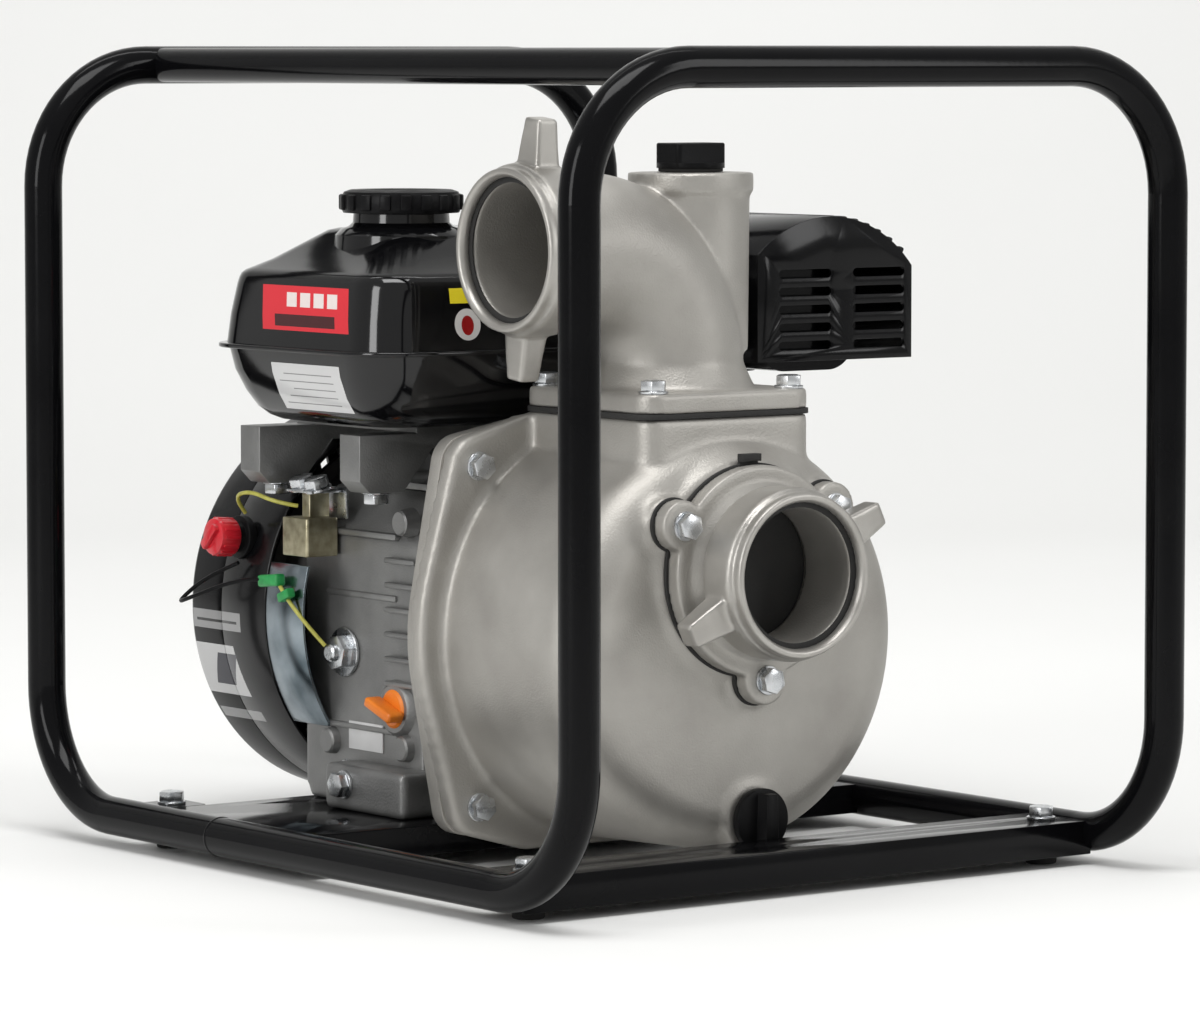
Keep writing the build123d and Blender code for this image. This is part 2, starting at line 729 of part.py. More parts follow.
journal_r = 12.5
cam_drop = 51.0
cam_side = -40.0
crank_gear_r = 21.3
cam_gear_r = 43.2
timing_y = 44.0
timing_t = 7.0
cover_rear_y = 30.0
case_rear_y = 149.0
web_r = 40.0
pin_r = 15.0
throw = stroke / 2
pin_angle = cylinder_tilt - 90.0
bearing_t = 12.0
with BuildPart() as crankshaft:
    ring(crank_plane(pto_y), shaft_r, 0, 48.0)
    ring(crank_plane(cylinder_y - 22.0), journal_r, 0, cylinder_y - 22.0 - pto_y)
    for web_rear_y in (cylinder_y - 13.0, cylinder_y + 25.0):
        with BuildSketch(crank_plane(web_rear_y)):
            Circle(web_r)
            with Locations(polar(web_r, pin_angle + 90.0), polar(web_r, pin_angle - 90.0)):
                Circle(13.0, mode=Mode.SUBTRACT)
        extrude(amount=12.0)
    with BuildSketch(crank_plane(cylinder_y + 13.0)):
        with Locations(polar(throw, pin_angle)):
            Circle(pin_r)
    extrude(amount=26.0)
    ring(crank_plane(timing_y), crank_gear_r, 0, timing_t)
    ring(crank_plane(case_rear_y + 6.0), journal_r, 0, case_rear_y + 6.0 - cylinder_y - 25.0)
    ring(crank_plane(198.0), 9.0, 0, 198.0 - case_rear_y - 6.0)
crankshaft.part.label = "crankshaft"
export_step(crankshaft.part, "parts/crankshaft.step")

with BuildPart() as crank_bearings:
    ring(crank_plane(cover_rear_y), 26.0, journal_r + 0.05, bearing_t)
    ring(crank_plane(case_rear_y), 26.0, journal_r + 0.05, bearing_t)
crank_bearings.part.label = "crank_bearings"
export_step(crank_bearings.part, "parts/crank_bearings.step")

flywheel_y = 158.0
flywheel_r = 92.0
fan_r = 100.0
fan_blades = 16
with BuildPart() as flywheel_fan:
    ring(crank_plane(flywheel_y + 22.0), flywheel_r, 0, 22.0)
    with BuildSketch(crank_plane(flywheel_y + 26.0)):
        Circle(fan_r)
    extrude(amount=4.0)
    ring(crank_plane(flywheel_y + 14.0), flywheel_r - 8.0, 28.0, 14.0, mode=Mode.SUBTRACT)
    for number in range(fan_blades):
        with BuildSketch(turned(crank_plane(flywheel_y + 42.0), number * 360.0 / fan_blades)):
            with Locations((80.0, 0)):
                Rectangle(38.0, 2.2)
        extrude(amount=16.0)
    # the starter cup and the nut that holds it
    ring(crank_plane(flywheel_y + 46.0), 42.0, 39.0, 20.0)
    ring(crank_plane(flywheel_y + 34.0), 14.0, 0, 8.0)
    ring(crank_plane(flywheel_y + 40.0), 9.0, 0, 50.0, mode=Mode.SUBTRACT)
flywheel_fan.part.label = "flywheel_fan"
export_step(flywheel_fan.part, "parts/flywheel_fan.step")

def cam_plane(y):
    """A plane that faces -Y with its origin on the camshaft axis."""
    return Plane(origin=(cam_side, y, axis_z - cam_drop), x_dir=(1, 0, 0), z_dir=(0, -1, 0))


with BuildPart() as camshaft:
    ring(cam_plane(134.0), 8.0, 0, 98.0)
    ring(cam_plane(timing_y), cam_gear_r, 0, timing_t)
    for lobe_rear_y, lobe_angle in ((112.0, 90.0), (128.0, 200.0)):
        with BuildSketch(cam_plane(lobe_rear_y)):
            Circle(13.0)
            with Locations(polar(7.0, lobe_angle)):
                Circle(9.0)
        extrude(amount=9.0)
camshaft.part.label = "camshaft"
export_step(camshaft.part, "parts/camshaft.step")

# ---------------------------------------------------------------- engine castings
case_left_x = -95.0
case_right_x = 72.0
case_floor_z = engine_base_z
cavity_inset = 8.0


def case_outline(inset):
    """The crankcase seen from the pump side, inset by a wall."""
    with BuildLine() as outline:
        Polyline(
            (case_left_x + inset, case_floor_z + inset),
            (case_left_x + inset, 178.0),
            (case_left_x + 22.0 + 0.4 * inset, 206.0 - inset),
            (20.0, 206.0 - inset),
            (case_right_x - inset, 176.0),
            (case_right_x - inset, case_floor_z + inset),
            close=True,
        )
    make_face(outline.edges())
    fillet(vertices(), 10.0)


def case_side(y, z):
    """A plane on the crankcase's left wall that faces -X."""
    return Plane(origin=(case_left_x, y, z), x_dir=(0, 1, 0), z_dir=(-1, 0, 0))


nut_seat = case_side(107.0, 112.0)
drain_seat = case_side(106.0, 42.0)
dipstick = case_side(54.0, 84.0)
dipstick_r = 8.0
barrel_r = cylinder_bore_r + 8.0
fin_count = 6
fin_pitch = 7.6
fin_size = 98.0
with BuildPart() as crankcase:
    with BuildSketch(facing_front(case_rear_y)):
        case_outline(0.0)
    extrude(amount=case_rear_y - cover_rear_y)
    with BuildSketch(Plane.XY.offset(engine_base_z)):
        with Locations((0, (pto_y + case_rear_y) / 2)):
            RectangleRounded(2 * (engine_bolt_x + 14.0), case_rear_y - pto_y, 8.0)
    extrude(amount=engine_foot)
    ring(cylinder_plane(40.0), barrel_r, 0, deck - 40.0)
    for number in range(fin_count):
        with BuildSketch(cylinder_plane(deck - 4.0 - number * fin_pitch)):
            RectangleRounded(fin_size, fin_size, 10.0)
        extrude(amount=3.0)
    ring(cylinder_plane(20.0), cylinder_bore_r + 0.05, 0, deck, mode=Mode.SUBTRACT)
    with BuildSketch(facing_front(case_rear_y - 10.0)):
        case_outline(cavity_inset)
    extrude(amount=case_rear_y - 10.0 - cover_rear_y, mode=Mode.SUBTRACT)
    ring(crank_plane(case_rear_y), 26.0, 0, 12.0, mode=Mode.SUBTRACT)
    with BuildSketch(Plane.XY.offset(engine_base_z)):
        with Locations(*engine_bolt_places):
            Circle(bolt_r + 0.05)
    extrude(amount=engine_thread + 0.5, mode=Mode.SUBTRACT)
    drill([nut_seat, drain_seat], bolt_r + 0.05, 7.0)
    drill([dipstick], dipstick_r + 0.05, 12.0)
    # the cover's own foot pad takes the front end of the base
    with BuildSketch(facing_front(cover_rear_y)):
        with Locations((0, 110.0)):
            Rectangle(400.0, 220.0)
    extrude(amount=cover_rear_y - pto_y + 1.0, mode=Mode.SUBTRACT)
crankcase.part.label = "crankcase"
export_step(crankcase.part, "parts/crankcase.step")

with BuildPart() as crankcase_cover:
    with BuildSketch(facing_front(cover_rear_y)):
        case_outline(1.0)
        with Locations((0, engine_base_z + engine_foot / 2)):
            RectangleRounded(2 * (engine_bolt_x + 14.0), engine_foot, 3.0)
    extrude(amount=cover_rear_y - 18.0)
    with BuildSketch(facing_front(18.0)):
        with Locations((0, axis_z)):
            Circle(92.0)
        with Locations((0, axis_z - 60.0)):
            Rectangle(150.0, 70.0)
        with Locations((0, engine_base_z - 50.0)):
            Rectangle(400.0, 100.0, mode=Mode.SUBTRACT)
    extrude(amount=18.0 - pto_y)
    ring(crank_plane(cover_rear_y), 26.0, 0, 12.0, mode=Mode.SUBTRACT)
    ring(crank_plane(cover_rear_y), journal_r + 1.0, 0, 30.0, mode=Mode.SUBTRACT)
crankcase_cover.part.label = "crankcase_cover"
export_step(crankcase_cover.part, "parts/crankcase_cover.step")

piston_height = 36.0
crown_rest = 103.5
with BuildPart() as piston:
    ring(cylinder_plane(crown_rest - piston_height), cylinder_bore_r, 0, piston_height)
    ring(cylinder_plane(crown_rest - piston_height), cylinder_bore_r - 4.0, 0, piston_height - 8.0, mode=Mode.SUBTRACT)
    for groove in (5.0, 10.0, 16.0):
        ring(cylinder_plane(crown_rest - groove - 2.0), cylinder_bore_r, cylinder_bore_r - 2.5, 2.0, mode=Mode.SUBTRACT)
    # the wrist pin runs fore and aft
    with BuildSketch(Plane.XZ.offset(-cylinder_y - cylinder_bore_r + 2.0)):
        with Locations((cylinder_plane(crown_rest - 24.0).origin.X, cylinder_plane(crown_rest - 24.0).origin.Z)):
            Circle(9.0)
    extrude(amount=2 * cylinder_bore_r - 4.0)
piston.part.label = "piston"
export_step(piston.part, "parts/piston.step")

head_t = 30.0
bore_axis = Axis(cylinder_plane(0).origin, cylinder_plane(0).z_dir)
head_mid = cylinder_plane(deck + 16.0).origin
plug_face_y = cylinder_y - 42.0
plug_axis = Plane(origin=(head_mid.X, plug_face_y, head_mid.Z), x_dir=(1, 0, 0), z_dir=(0, -1, 0))
with BuildPart() as cylinder_head:
    with BuildSketch(cylinder_plane(deck)):
        RectangleRounded(fin_size, fin_size, 10.0)
    extrude(amount=4.0)
    with BuildSketch(cylinder_plane(deck)):
        RectangleRounded(84.0, 84.0, 10.0)
    extrude(amount=head_t)
    for number in range(1, 4):
        with BuildSketch(cylinder_plane(deck + number * 7.0)):
            RectangleRounded(fin_size, fin_size, 10.0)
        extrude(amount=3.0)
    ring(cylinder_plane(deck), cylinder_bore_r - 4.0, 0, 8.0, mode=Mode.SUBTRACT)
    ring(plug_axis, 12.0, 0, 30.0, mode=Mode.SUBTRACT)
cylinder_head.part.label = "cylinder_head"
export_step(cylinder_head.part, "parts/cylinder_head.step")

with BuildPart() as rocker_cover:
    with BuildSketch(cylinder_plane(deck + head_t)):
        RectangleRounded(86.0, 86.0, 14.0)
    extrude(amount=3.0)
    with BuildSketch(cylinder_plane(deck + head_t)):
        RectangleRounded(76.0, 76.0, 14.0)
    extrude(amount=20.0)
    fillet(rocker_cover.faces().sort_by(bore_axis)[-1].edges(), 6.0)
rocker_cover.part.label = "rocker_cover"
export_step(rocker_cover.part, "parts/rocker_cover.step")

with BuildPart() as spark_plug:
    ring(plug_axis, 10.0, 0, 9.0)
    ring(plug_axis.offset(9.0), 5.5, 0, 26.0)
spark_plug.part.label = "spark_plug"
export_step(spark_plug.part, "parts/spark_plug.step")

with BuildPart() as spark_plug_cap:
    ring(plug_axis.offset(16.0), 10.0, 0, 30.0)
    ring(plug_axis.offset(8.0), 5.5, 0, 27.0, mode=Mode.SUBTRACT)
    fillet(spark_plug_cap.faces().sort_by(Axis.Y)[0].edges(), 3.0)
spark_plug_cap.part.label = "spark_plug_cap"
export_step(spark_plug_cap.part, "parts/spark_plug_cap.step")

# ---------------------------------------------------------------- starter side
shroud_wall = 2.0
shroud_front_y = 160.0
shroud_rear_y = 206.0
with BuildPart() as fan_shroud:
    with BuildSketch(crank_plane(shroud_rear_y)):
        Circle(recoil_r)
        with Locations((80.0, 44.0)):
            Rectangle(104.0, 92.0)
    extrude(amount=shroud_rear_y - shroud_front_y)
    with BuildSketch(crank_plane(shroud_rear_y - shroud_wall)):
        Circle(recoil_r - shroud_wall)
        with Locations((80.0, 44.0)):
            Rectangle(104.0 - 2 * shroud_wall, 92.0 - 2 * shroud_wall)
    extrude(amount=shroud_rear_y - shroud_front_y, mode=Mode.SUBTRACT)
    ring(crank_plane(shroud_rear_y), 95.0, 0, 10.0, mode=Mode.SUBTRACT)
fan_shroud.part.label = "fan_shroud"
export_step(fan_shroud.part, "parts/fan_shroud.step")

recoil_rear_y = 240.0
guide_x = 96.0
rope_z = axis_z + pulley_r
rope_y = 222.0
rope_r = 2.0
rope_line_z = rope_z + rope_r + 0.4
grip_x = 124.0
with BuildPart() as recoil_cover:
    ring(crank_plane(recoil_rear_y), recoil_r, 0, recoil_rear_y - shroud_rear_y)
    fillet(recoil_cover.edges().sort_by(Axis.Y)[-1], 5.0)
    ring(crank_plane(recoil_rear_y - 2.5), 98.0, 0, 40.0, mode=Mode.SUBTRACT)
    # the post that the rope pulley turns on, and the rope's guide in the rim
    ring(crank_plane(recoil_rear_y), 12.0 - 0.05, 0, 28.0)
    with BuildSketch(facing_right(guide_x - 16.0)):
        with Locations((rope_y, rope_line_z)):
            Circle(9.0)
    extrude(amount=30.0)
    with BuildSketch(facing_right(40.0)):
        with Locations((rope_y, rope_line_z)):
            Circle(rope_r + 1.0)
    extrude(amount=90.0, mode=Mode.SUBTRACT)
    for number in range(24):
        with BuildSketch(turned(crank_plane(recoil_rear_y), number * 15.0)):
            with Locations((74.0, 0)):
                SlotOverall(26.0, 6.0)
        extrude(amount=4.0, mode=Mode.SUBTRACT)
recoil_cover.part.label = "recoil_cover"
export_step(recoil_cover.part, "parts/recoil_cover.step")

with BuildPart() as recoil_pulley:
    ring(crank_plane(rope_y + 8.0), pulley_r + 8.0, 12.0, 16.0)
    ring(crank_plane(rope_y + 6.0), pulley_r + 10.0, pulley_r, 12.0, mode=Mode.SUBTRACT)
recoil_pulley.part.label = "recoil_pulley"
export_step(recoil_pulley.part, "parts/recoil_pulley.step")

with BuildPart() as starter_rope:
    with BuildSketch(facing_right(0.0)):
        with Locations((rope_y, rope_line_z)):
            Circle(rope_r)
    extrude(amount=grip_x + 2.0)
starter_rope.part.label = "starter_rope"
export_step(starter_rope.part, "parts/starter_rope.step")

with BuildPart() as starter_grip:
    with BuildSketch(facing_right(grip_x + 2.0)):
        with Locations((rope_y, rope_line_z)):
            SlotOverall(66.0, 18.0, rotation=90.0)
    extrude(amount=18.0)
    fillet(starter_grip.faces().sort_by(Axis.X)[-1].edges(), 5.0)
    with BuildSketch(facing_right(grip_x + 2.0)):
        with Locations((rope_y, rope_line_z)):
            Circle(9.0)
    with BuildSketch(facing_right(grip_x - 10.0)):
        with Locations((rope_y, rope_line_z)):
            Circle(6.0)
            Circle(rope_r + 0.2, mode=Mode.SUBTRACT)
    extrude(amount=12.0)
starter_grip.part.label = "starter_grip"
export_step(starter_grip.part, "parts/starter_grip.step")

# ---------------------------------------------------------------- side of the crankcase
plate_r = 115.5
with BuildPart() as side_plate:
    with BuildSketch(crank_plane(shroud_front_y - 1.0)):
        Circle(plate_r)
        Circle(plate_r - 1.5, mode=Mode.SUBTRACT)
        with Locations((0, 0)):
            Rectangle(193.0, 300.0, mode=Mode.SUBTRACT)
        with Locations((0, 30.0 + 100.0)):
            Rectangle(300.0, 200.0, mode=Mode.SUBTRACT)
        with Locations((150.0, 0)):
            Rectangle(300.0, 300.0, mode=Mode.SUBTRACT)
    extrude(amount=38.0)
side_plate.part.label = "side_plate"
export_step(side_plate.part, "parts/side_plate.step")

alert = Vector(-110.0, 124.0, 180.0)
with BuildPart() as oil_alert_unit:
    with BuildSketch(Plane.XY.offset(alert.Z - 13.0)):
        with Locations((alert.X + 2.0, alert.Y)):
            RectangleRounded(22.0, 26.0, 2.0)
    extrude(amount=22.0)
    with BuildSketch(Plane.XY.offset(alert.Z + 9.0)):
        with Locations((alert.X + 6.0, alert.Y)):
            Rectangle(14.0, 8.0)
    extrude(amount=14.0)
oil_alert_unit.part.label = "oil_alert_unit"
export_step(oil_alert_unit.part, "parts/oil_alert_unit.step")

switch_y = 192.0
switch_z = 173.0
switch_face = Plane(origin=(-108.0, switch_y, switch_z), x_dir=(0, 1, 0), z_dir=(-1, 0, 0.06))
with BuildPart() as stop_switch:
    ring(switch_face, 12.5, 0, 5.0)
    ring(switch_face.offset(5.0), 9.0, 0, 4.0)
    ring(switch_face, 3.0, 0, 20.0, mode=Mode.SUBTRACT)
    ring(crank_plane(shroud_rear_y + 10.0), recoil_r, 0, 80.0, mode=Mode.SUBTRACT)
stop_switch.part.label = "stop_switch"
export_step(stop_switch.part, "parts/stop_switch.step")

with BuildPart() as stop_switch_knob:
    ring(switch_face.offset(9.3), 11.0, 0, 13.0)
    fillet(stop_switch_knob.faces().sort_by(Axis(switch_face.origin, switch_face.z_dir))[-1].edges(), 2.0)
    with BuildSketch(switch_face.offset(22.3)):
        RectangleRounded(18.0, 6.0, 1.5)
    extrude(amount=3.0)
    ring(switch_face.offset(2.0), 2.95, 0, 8.0)
stop_switch_knob.part.label = "stop_switch_knob"
export_step(stop_switch_knob.part, "parts/stop_switch_knob.step")

with BuildPart() as oil_dipstick:
    ring(dipstick, 11.0, 0, 5.0)
    ring(dipstick, dipstick_r, 0, -9.0)
    with BuildSketch(dipstick.offset(5.0)):
        with BuildLine():
            Polyline((-13.0, -3.0), (-5.0, -5.0), (5.0, -5.0), (13.0, -3.0), (13.0, 3.0), (5.0, 5.0), (-5.0, 5.0),
                     (-13.0, 3.0), close=True)
        make_face()
    extrude(amount=11.0)
oil_dipstick.part.label = "oil_dipstick"
export_step(oil_dipstick.part, "parts/oil_dipstick.step")

# every M8 bolt of the pump, the frame and the crankcase, as separate solids
with BuildPart() as bolts:
    hex_bolts(foot_seats, 18.0)
    hex_bolts(engine_seats, sheet + engine_thread)
    hex_bolts(casing_seats, 20.0)
    hex_bolts(pad_seats(suction_seat_y), suction_plate + gasket_t + 14.0)
    hex_bolts(outlet_seats(outlet_seat_z), outlet_plate + outlet_gasket + 14.0)
    hex_bolts([nut_seat, drain_seat], 6.0)
bolts.part.label = "bolts"
export_step(bolts.part, "parts/bolts.step")

wire_r = 1.2
wire_bend = 4.0


def wire(points):
    """A wire along straight runs with round corners."""
    with BuildLine() as run:
        FilletPolyline(*points, radius=wire_bend)
    start = Vector(points[0])
    heading = Vector(points[1]) - start
    with BuildSketch(Plane(origin=start, z_dir=heading)) as section:
        Circle(wire_r)
    sweep(section.sketch, path=run.line)


with BuildPart() as wiring:
    wire([(-113, 184, 188), (-124, 180, 198), (-126, 156, 202), (-121, 138, 196)])
    wire([(-118, 184, 159), (-126, 206, 150), (-136, 222, 134), (-140, 204, 138), (-126, 168, 152), (-119, 146, 152)])
    wire([(-119, 140, 150), (-121, 126, 138), (-110, 110, 122)])
wiring.part.label = "wiring"
export_step(wiring.part, "parts/wiring.step")

# ---------------------------------------------------------------- fuel tank
tank_mid_x = (tank_x[0] + tank_x[1]) / 2
tank_mid_y = (tank_y[0] + tank_y[1]) / 2
tank_width = tank_x[1] - tank_x[0]
tank_length = tank_y[1] - tank_y[0]
tank_wall = 1.6
tank_floor_z = 245.0
tank_shoulder_z = 340.0
tank_crown_z = 358.0
neck_bore_r = 24.0
seam_out = 5.0


filler = Plane(origin=(cap_x, cap_y, tank_shoulder_z + 26.0), z_dir=(0, 0, 1))


def tank_section(z, inset, corner):
    """A rounded rectangle across the tank at a height."""
    with BuildSketch(Plane.XY.offset(z)) as section:
        with Locations((tank_mid_x, tank_mid_y)):
            RectangleRounded(tank_width - 2 * inset, tank_length - 2 * inset, corner)
    return section.sketch


with BuildPart() as fuel_tank:
    shoulder = tank_section(tank_shoulder_z - 12.0, 12.0, 34.0)
    loft([tank_section(tank_seam_z, 6.0, 34.0), shoulder])
    loft([shoulder, tank_section(tank_crown_z, 48.0, 30.0)])
    loft([tank_section(tank_floor_z, 24.0, 34.0), tank_section(tank_seam_z, 6.0, 34.0)])
    # the two pressed halves meet in a flange
    extrude(tank_section(tank_seam_z - 1.5, 0.0, 40.0), amount=3.0)
    ring(filler, neck_bore_r + 3.0, 0, -20.0)
    # the fuel space, one wall inside
    inner_shoulder = tank_section(tank_shoulder_z - 12.0, 12.0 + tank_wall, 32.0)
    inner_seam = tank_section(tank_seam_z, 6.0 + tank_wall, 32.0)
    inner_floor = tank_section(tank_floor_z + tank_wall, 24.0 + tank_wall, 32.0)
    loft([inner_seam, inner_shoulder], mode=Mode.SUBTRACT)
    loft([inner_shoulder, tank_section(tank_crown_z - tank_wall, 48.0 + tank_wall, 28.0)], mode=Mode.SUBTRACT)
    loft([inner_floor, inner_seam], mode=Mode.SUBTRACT)
    ring(filler, neck_bore_r, 0, -50.0, mode=Mode.SUBTRACT)
fuel_tank.part.label = "fuel_tank"
export_step(fuel_tank.part, "parts/fuel_tank.step")

cap_r = 34.5
with BuildPart() as fuel_cap_gasket:
    ring(filler.offset(face_gap), neck_bore_r + 3.0, neck_bore_r - 2.0, 1.2)
fuel_cap_gasket.part.label = "fuel_cap_gasket"
export_step(fuel_cap_gasket.part, "parts/fuel_cap_gasket.step")

cap_ribs = 14
with BuildPart() as fuel_cap:
    ring(filler.offset(-2.0), cap_r - 1.0, 0, 13.0)
    fillet(fuel_cap.faces().sort_by(Axis.Z)[-1].edges(), 3.0)
    for number in range(cap_ribs):
        with BuildSketch(turned(filler.offset(-1.5), number * 360.0 / cap_ribs)):
            with Locations((cap_r - 1.0, 0)):
                RectangleRounded(4.0, 7.0, 1.5)
        extrude(amount=10.0)
    ring(filler.offset(-2.0), neck_bore_r + 5.0, 0, 3.8, mode=Mode.SUBTRACT)
fuel_cap.part.label = "fuel_cap"
export_step(fuel_cap.part, "parts/fuel_cap.step")

bracket_places = (60.0, 162.0)
with BuildPart() as tank_brackets:
    for bracket_y in bracket_places:
        width = 20.0
        with BuildSketch(facing_front(bracket_y + width / 2)):
            with BuildLine():
                Polyline((-124.0, 240.0), (-124.0, 214.0), (-117.0, 207.0), (-94.0, 207.0), (-74.0, 231.0),
                         (-52.0, 231.0), (-38.0, 207.0), (0.0, 207.0), (0.0, 214.0), (-20.0, 240.0), close=True)
            make_face()
        extrude(amount=width)
    with BuildSketch(Plane.XY.offset(240.0)):
        with Locations((-53.0, 111.0)):
            Rectangle(64.0, 122.0)
    extrude(amount=4.0)
    with BuildSketch(Plane.XY.offset(206.0)):
        with Locations((-36.0, 100.0)):
            Rectangle(70.0, 90.0)
    extrude(amount=4.0)
    # the rear bracket clears the fan shroud
    ring(crank_plane(210.0), recoil_r + 0.6, 0, 210.0 - shroud_front_y + 3.0, mode=Mode.SUBTRACT)
tank_brackets.part.label = "tank_brackets"
export_step(tank_brackets.part, "parts/tank_brackets.step")

# ---------------------------------------------------------------- carburettor, air cleaner and muffler
carb_x = 118.0
carb_y = 138.0
carb_z = 226.0
carb_size = 30.0
cleaner_floor_z = 266.0
with BuildPart() as carburettor:
    with BuildSketch(Plane.XY.offset(carb_z - carb_size / 2)):
        with Locations((carb_x, carb_y)):
            RectangleRounded(carb_size + 6.0, carb_size, 4.0)
    extrude(amount=carb_size)
    bowl = Plane(origin=(carb_x, carb_y, carb_z - carb_size / 2), z_dir=(0, 0, -1))
    ring(bowl, 14.0, 0, 16.0)
    ring(bowl.offset(-carb_size), 13.0, 0, carb_z + carb_size / 2 - cleaner_floor_z)
    ring(bowl.offset(-carb_size - 11.0), 9.0, 0, carb_size + 4.0, mode=Mode.SUBTRACT)
carburettor.part.label = "carburettor"
export_step(carburettor.part, "parts/carburettor.step")

with BuildPart() as air_cleaner_base:
    with BuildSketch(Plane.XY.offset(cleaner_floor_z)):
        with Locations((128.0, 128.0)):
            RectangleRounded(114.0, 116.0, 20.0)
    extrude(amount=12.0)
air_cleaner_base.part.label = "air_cleaner_base"
export_step(air_cleaner_base.part, "parts/air_cleaner_base.step")

with BuildPart() as air_cleaner_cover:
    with BuildSketch(Plane.XY.offset(278.0)):
        with Locations((128.0, 128.0)):
            RectangleRounded(116.0, 118.0, 22.0)
    with BuildSketch(Plane.XY.offset(352.0)):
        with Locations((128.0, 128.0)):
            RectangleRounded(100.0, 102.0, 22.0)
    loft()
    fillet(air_cleaner_cover.faces().sort_by(Axis.Z)[-1].edges(), 10.0)
    with BuildSketch(Plane.XY.offset(278.0)):
        with Locations((128.0, 128.0)):
            RectangleRounded(108.0, 110.0, 18.0)
    with BuildSketch(Plane.XY.offset(346.0)):
        with Locations((128.0, 128.0)):
            RectangleRounded(92.0, 94.0, 18.0)
    loft(mode=Mode.SUBTRACT)
air_cleaner_cover.part.label = "air_cleaner_cover"
export_step(air_cleaner_cover.part, "parts/air_cleaner_cover.step")


def lever(plane, length, width, thick, hub_r, hub_bore):
    """A flat lever that turns about its plane's origin."""
    with BuildSketch(plane) as outline:
        Circle(hub_r)
        with Locations((length / 2, 0)):
            SlotOverall(length, width)
        Circle(hub_bore, mode=Mode.SUBTRACT)
    extrude(outline.sketch, amount=thick)


throttle_pivot = Plane(origin=(84.0, 176.0, 240.0), x_dir=(0.2, 0.98, 0), z_dir=(0, 0, 1))
choke_pivot = Plane(origin=(carb_x + 18.4, carb_y, carb_z + 6.0), x_dir=(0, 0.3, 1), z_dir=(1, 0, 0))
fuel_pivot = Plane(origin=(carb_x + 18.4, carb_y, carb_z - 9.0), x_dir=(0, -0.3, -1), z_dir=(1, 0, 0))
with BuildPart() as control_mounts:
    ring(throttle_pivot.offset(-19.0), 5.0, 0, 24.0)
    ring(throttle_pivot.offset(-19.0), 10.0, 0, 3.0)
control_mounts.part.label = "control_mounts"
export_step(control_mounts.part, "parts/control_mounts.step")

with BuildPart() as throttle_lever:
    lever(throttle_pivot, 60.0, 10.0, 3.0, 9.0, 5.05)
throttle_lever.part.label = "throttle_lever"
export_step(throttle_lever.part, "parts/throttle_lever.step")

with BuildPart() as choke_lever:
    lever(choke_pivot, 28.0, 9.0, 3.0, 7.0, 0.5)
choke_lever.part.label = "choke_lever"
export_step(choke_lever.part, "parts/choke_lever.step")

with BuildPart() as fuel_valve_lever:
    lever(fuel_pivot, 26.0, 8.0, 4.0, 7.0, 0.5)
fuel_valve_lever.part.label = "fuel_valve_lever"
export_step(fuel_valve_lever.part, "parts/fuel_valve_lever.step")

guard_x = (77.0, 190.0)
guard_y = (-55.0, 62.0)
guard_floor_z = 279.0
guard_side_z = 340.0
guard_top_z = 361.0
muffler_inset = 9.0
with BuildPart() as muffler:
    with BuildSketch(facing_front(guard_y[1] - muffler_inset)):
        with Locations(((guard_x[0] + guard_x[1]) / 2 - 14.0, 306.0)):
            RectangleRounded(72.0, 66.0, 20.0)
    extrude(amount=guard_y[1] - guard_y[0] - 2 * muffler_inset)
    with BuildSketch(Plane.XY.offset(280.0)):
        with Locations((122.0, 44.0)):
            Circle(14.0)
    extrude(amount=-52.0)
    add(cylinder_head.part, mode=Mode.SUBTRACT)
    add(rocker_cover.part, mode=Mode.SUBTRACT)
muffler.part.label = "muffler"
export_step(muffler.part, "parts/muffler.step")

guard_mid_x = (guard_x[0] + guard_x[1]) / 2


def guard_outline(inset, floor_z):
    """The guard seen from the pump side: straight sides under a low arch."""
    left = guard_x[0] + inset
    right = guard_x[1] - inset
    with BuildLine() as outline:
        Polyline((left, guard_side_z), (left, floor_z), (right, floor_z), (right, guard_side_z - 8.0))
        ThreePointArc((right, guard_side_z - 8.0), (guard_mid_x, guard_top_z - inset), (left, guard_side_z))
    make_face(outline.edges())


slot_rows = 5
slot_floor_z = 288.0
slot_pitch = 10.2
with BuildPart() as muffler_guard:
    with BuildSketch(facing_front(guard_y[1])):
        guard_outline(0.0, guard_floor_z)
    extrude(amount=guard_y[1] - guard_y[0])
    with BuildSketch(facing_front(guard_y[1] - 2.0)):
        guard_outline(2.0, guard_floor_z - 20.0)
    extrude(amount=guard_y[1] - guard_y[0] - 4.0, mode=Mode.SUBTRACT)
    for row in range(slot_rows):
        with BuildSketch(facing_front(guard_y[0] + 6.0)):
            with Locations((guard_mid_x - 22.0, slot_floor_z + row * slot_pitch), (guard_mid_x + 32.0, slot_floor_z + row * slot_pitch)):
                SlotOverall(38.0, 5.0)
        extrude(amount=20.0, mode=Mode.SUBTRACT)
muffler_guard.part.label = "muffler_guard"
export_step(muffler_guard.part, "parts/muffler_guard.step")
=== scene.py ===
# %% [markdown]
# # Portable fire pump
# A small petrol engine drives a cast pump, and both stand in a carrying frame of bent tube. Every size
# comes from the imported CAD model, which is loaded first and never moved. The cells after it make the
# finishes, then the pump, its bolts, the tank, the engine and the small details, and last the light and the
# camera.

# %% Load the fixed frame
import json
import math

import bmesh
import bpy
from mathutils import Matrix, Vector


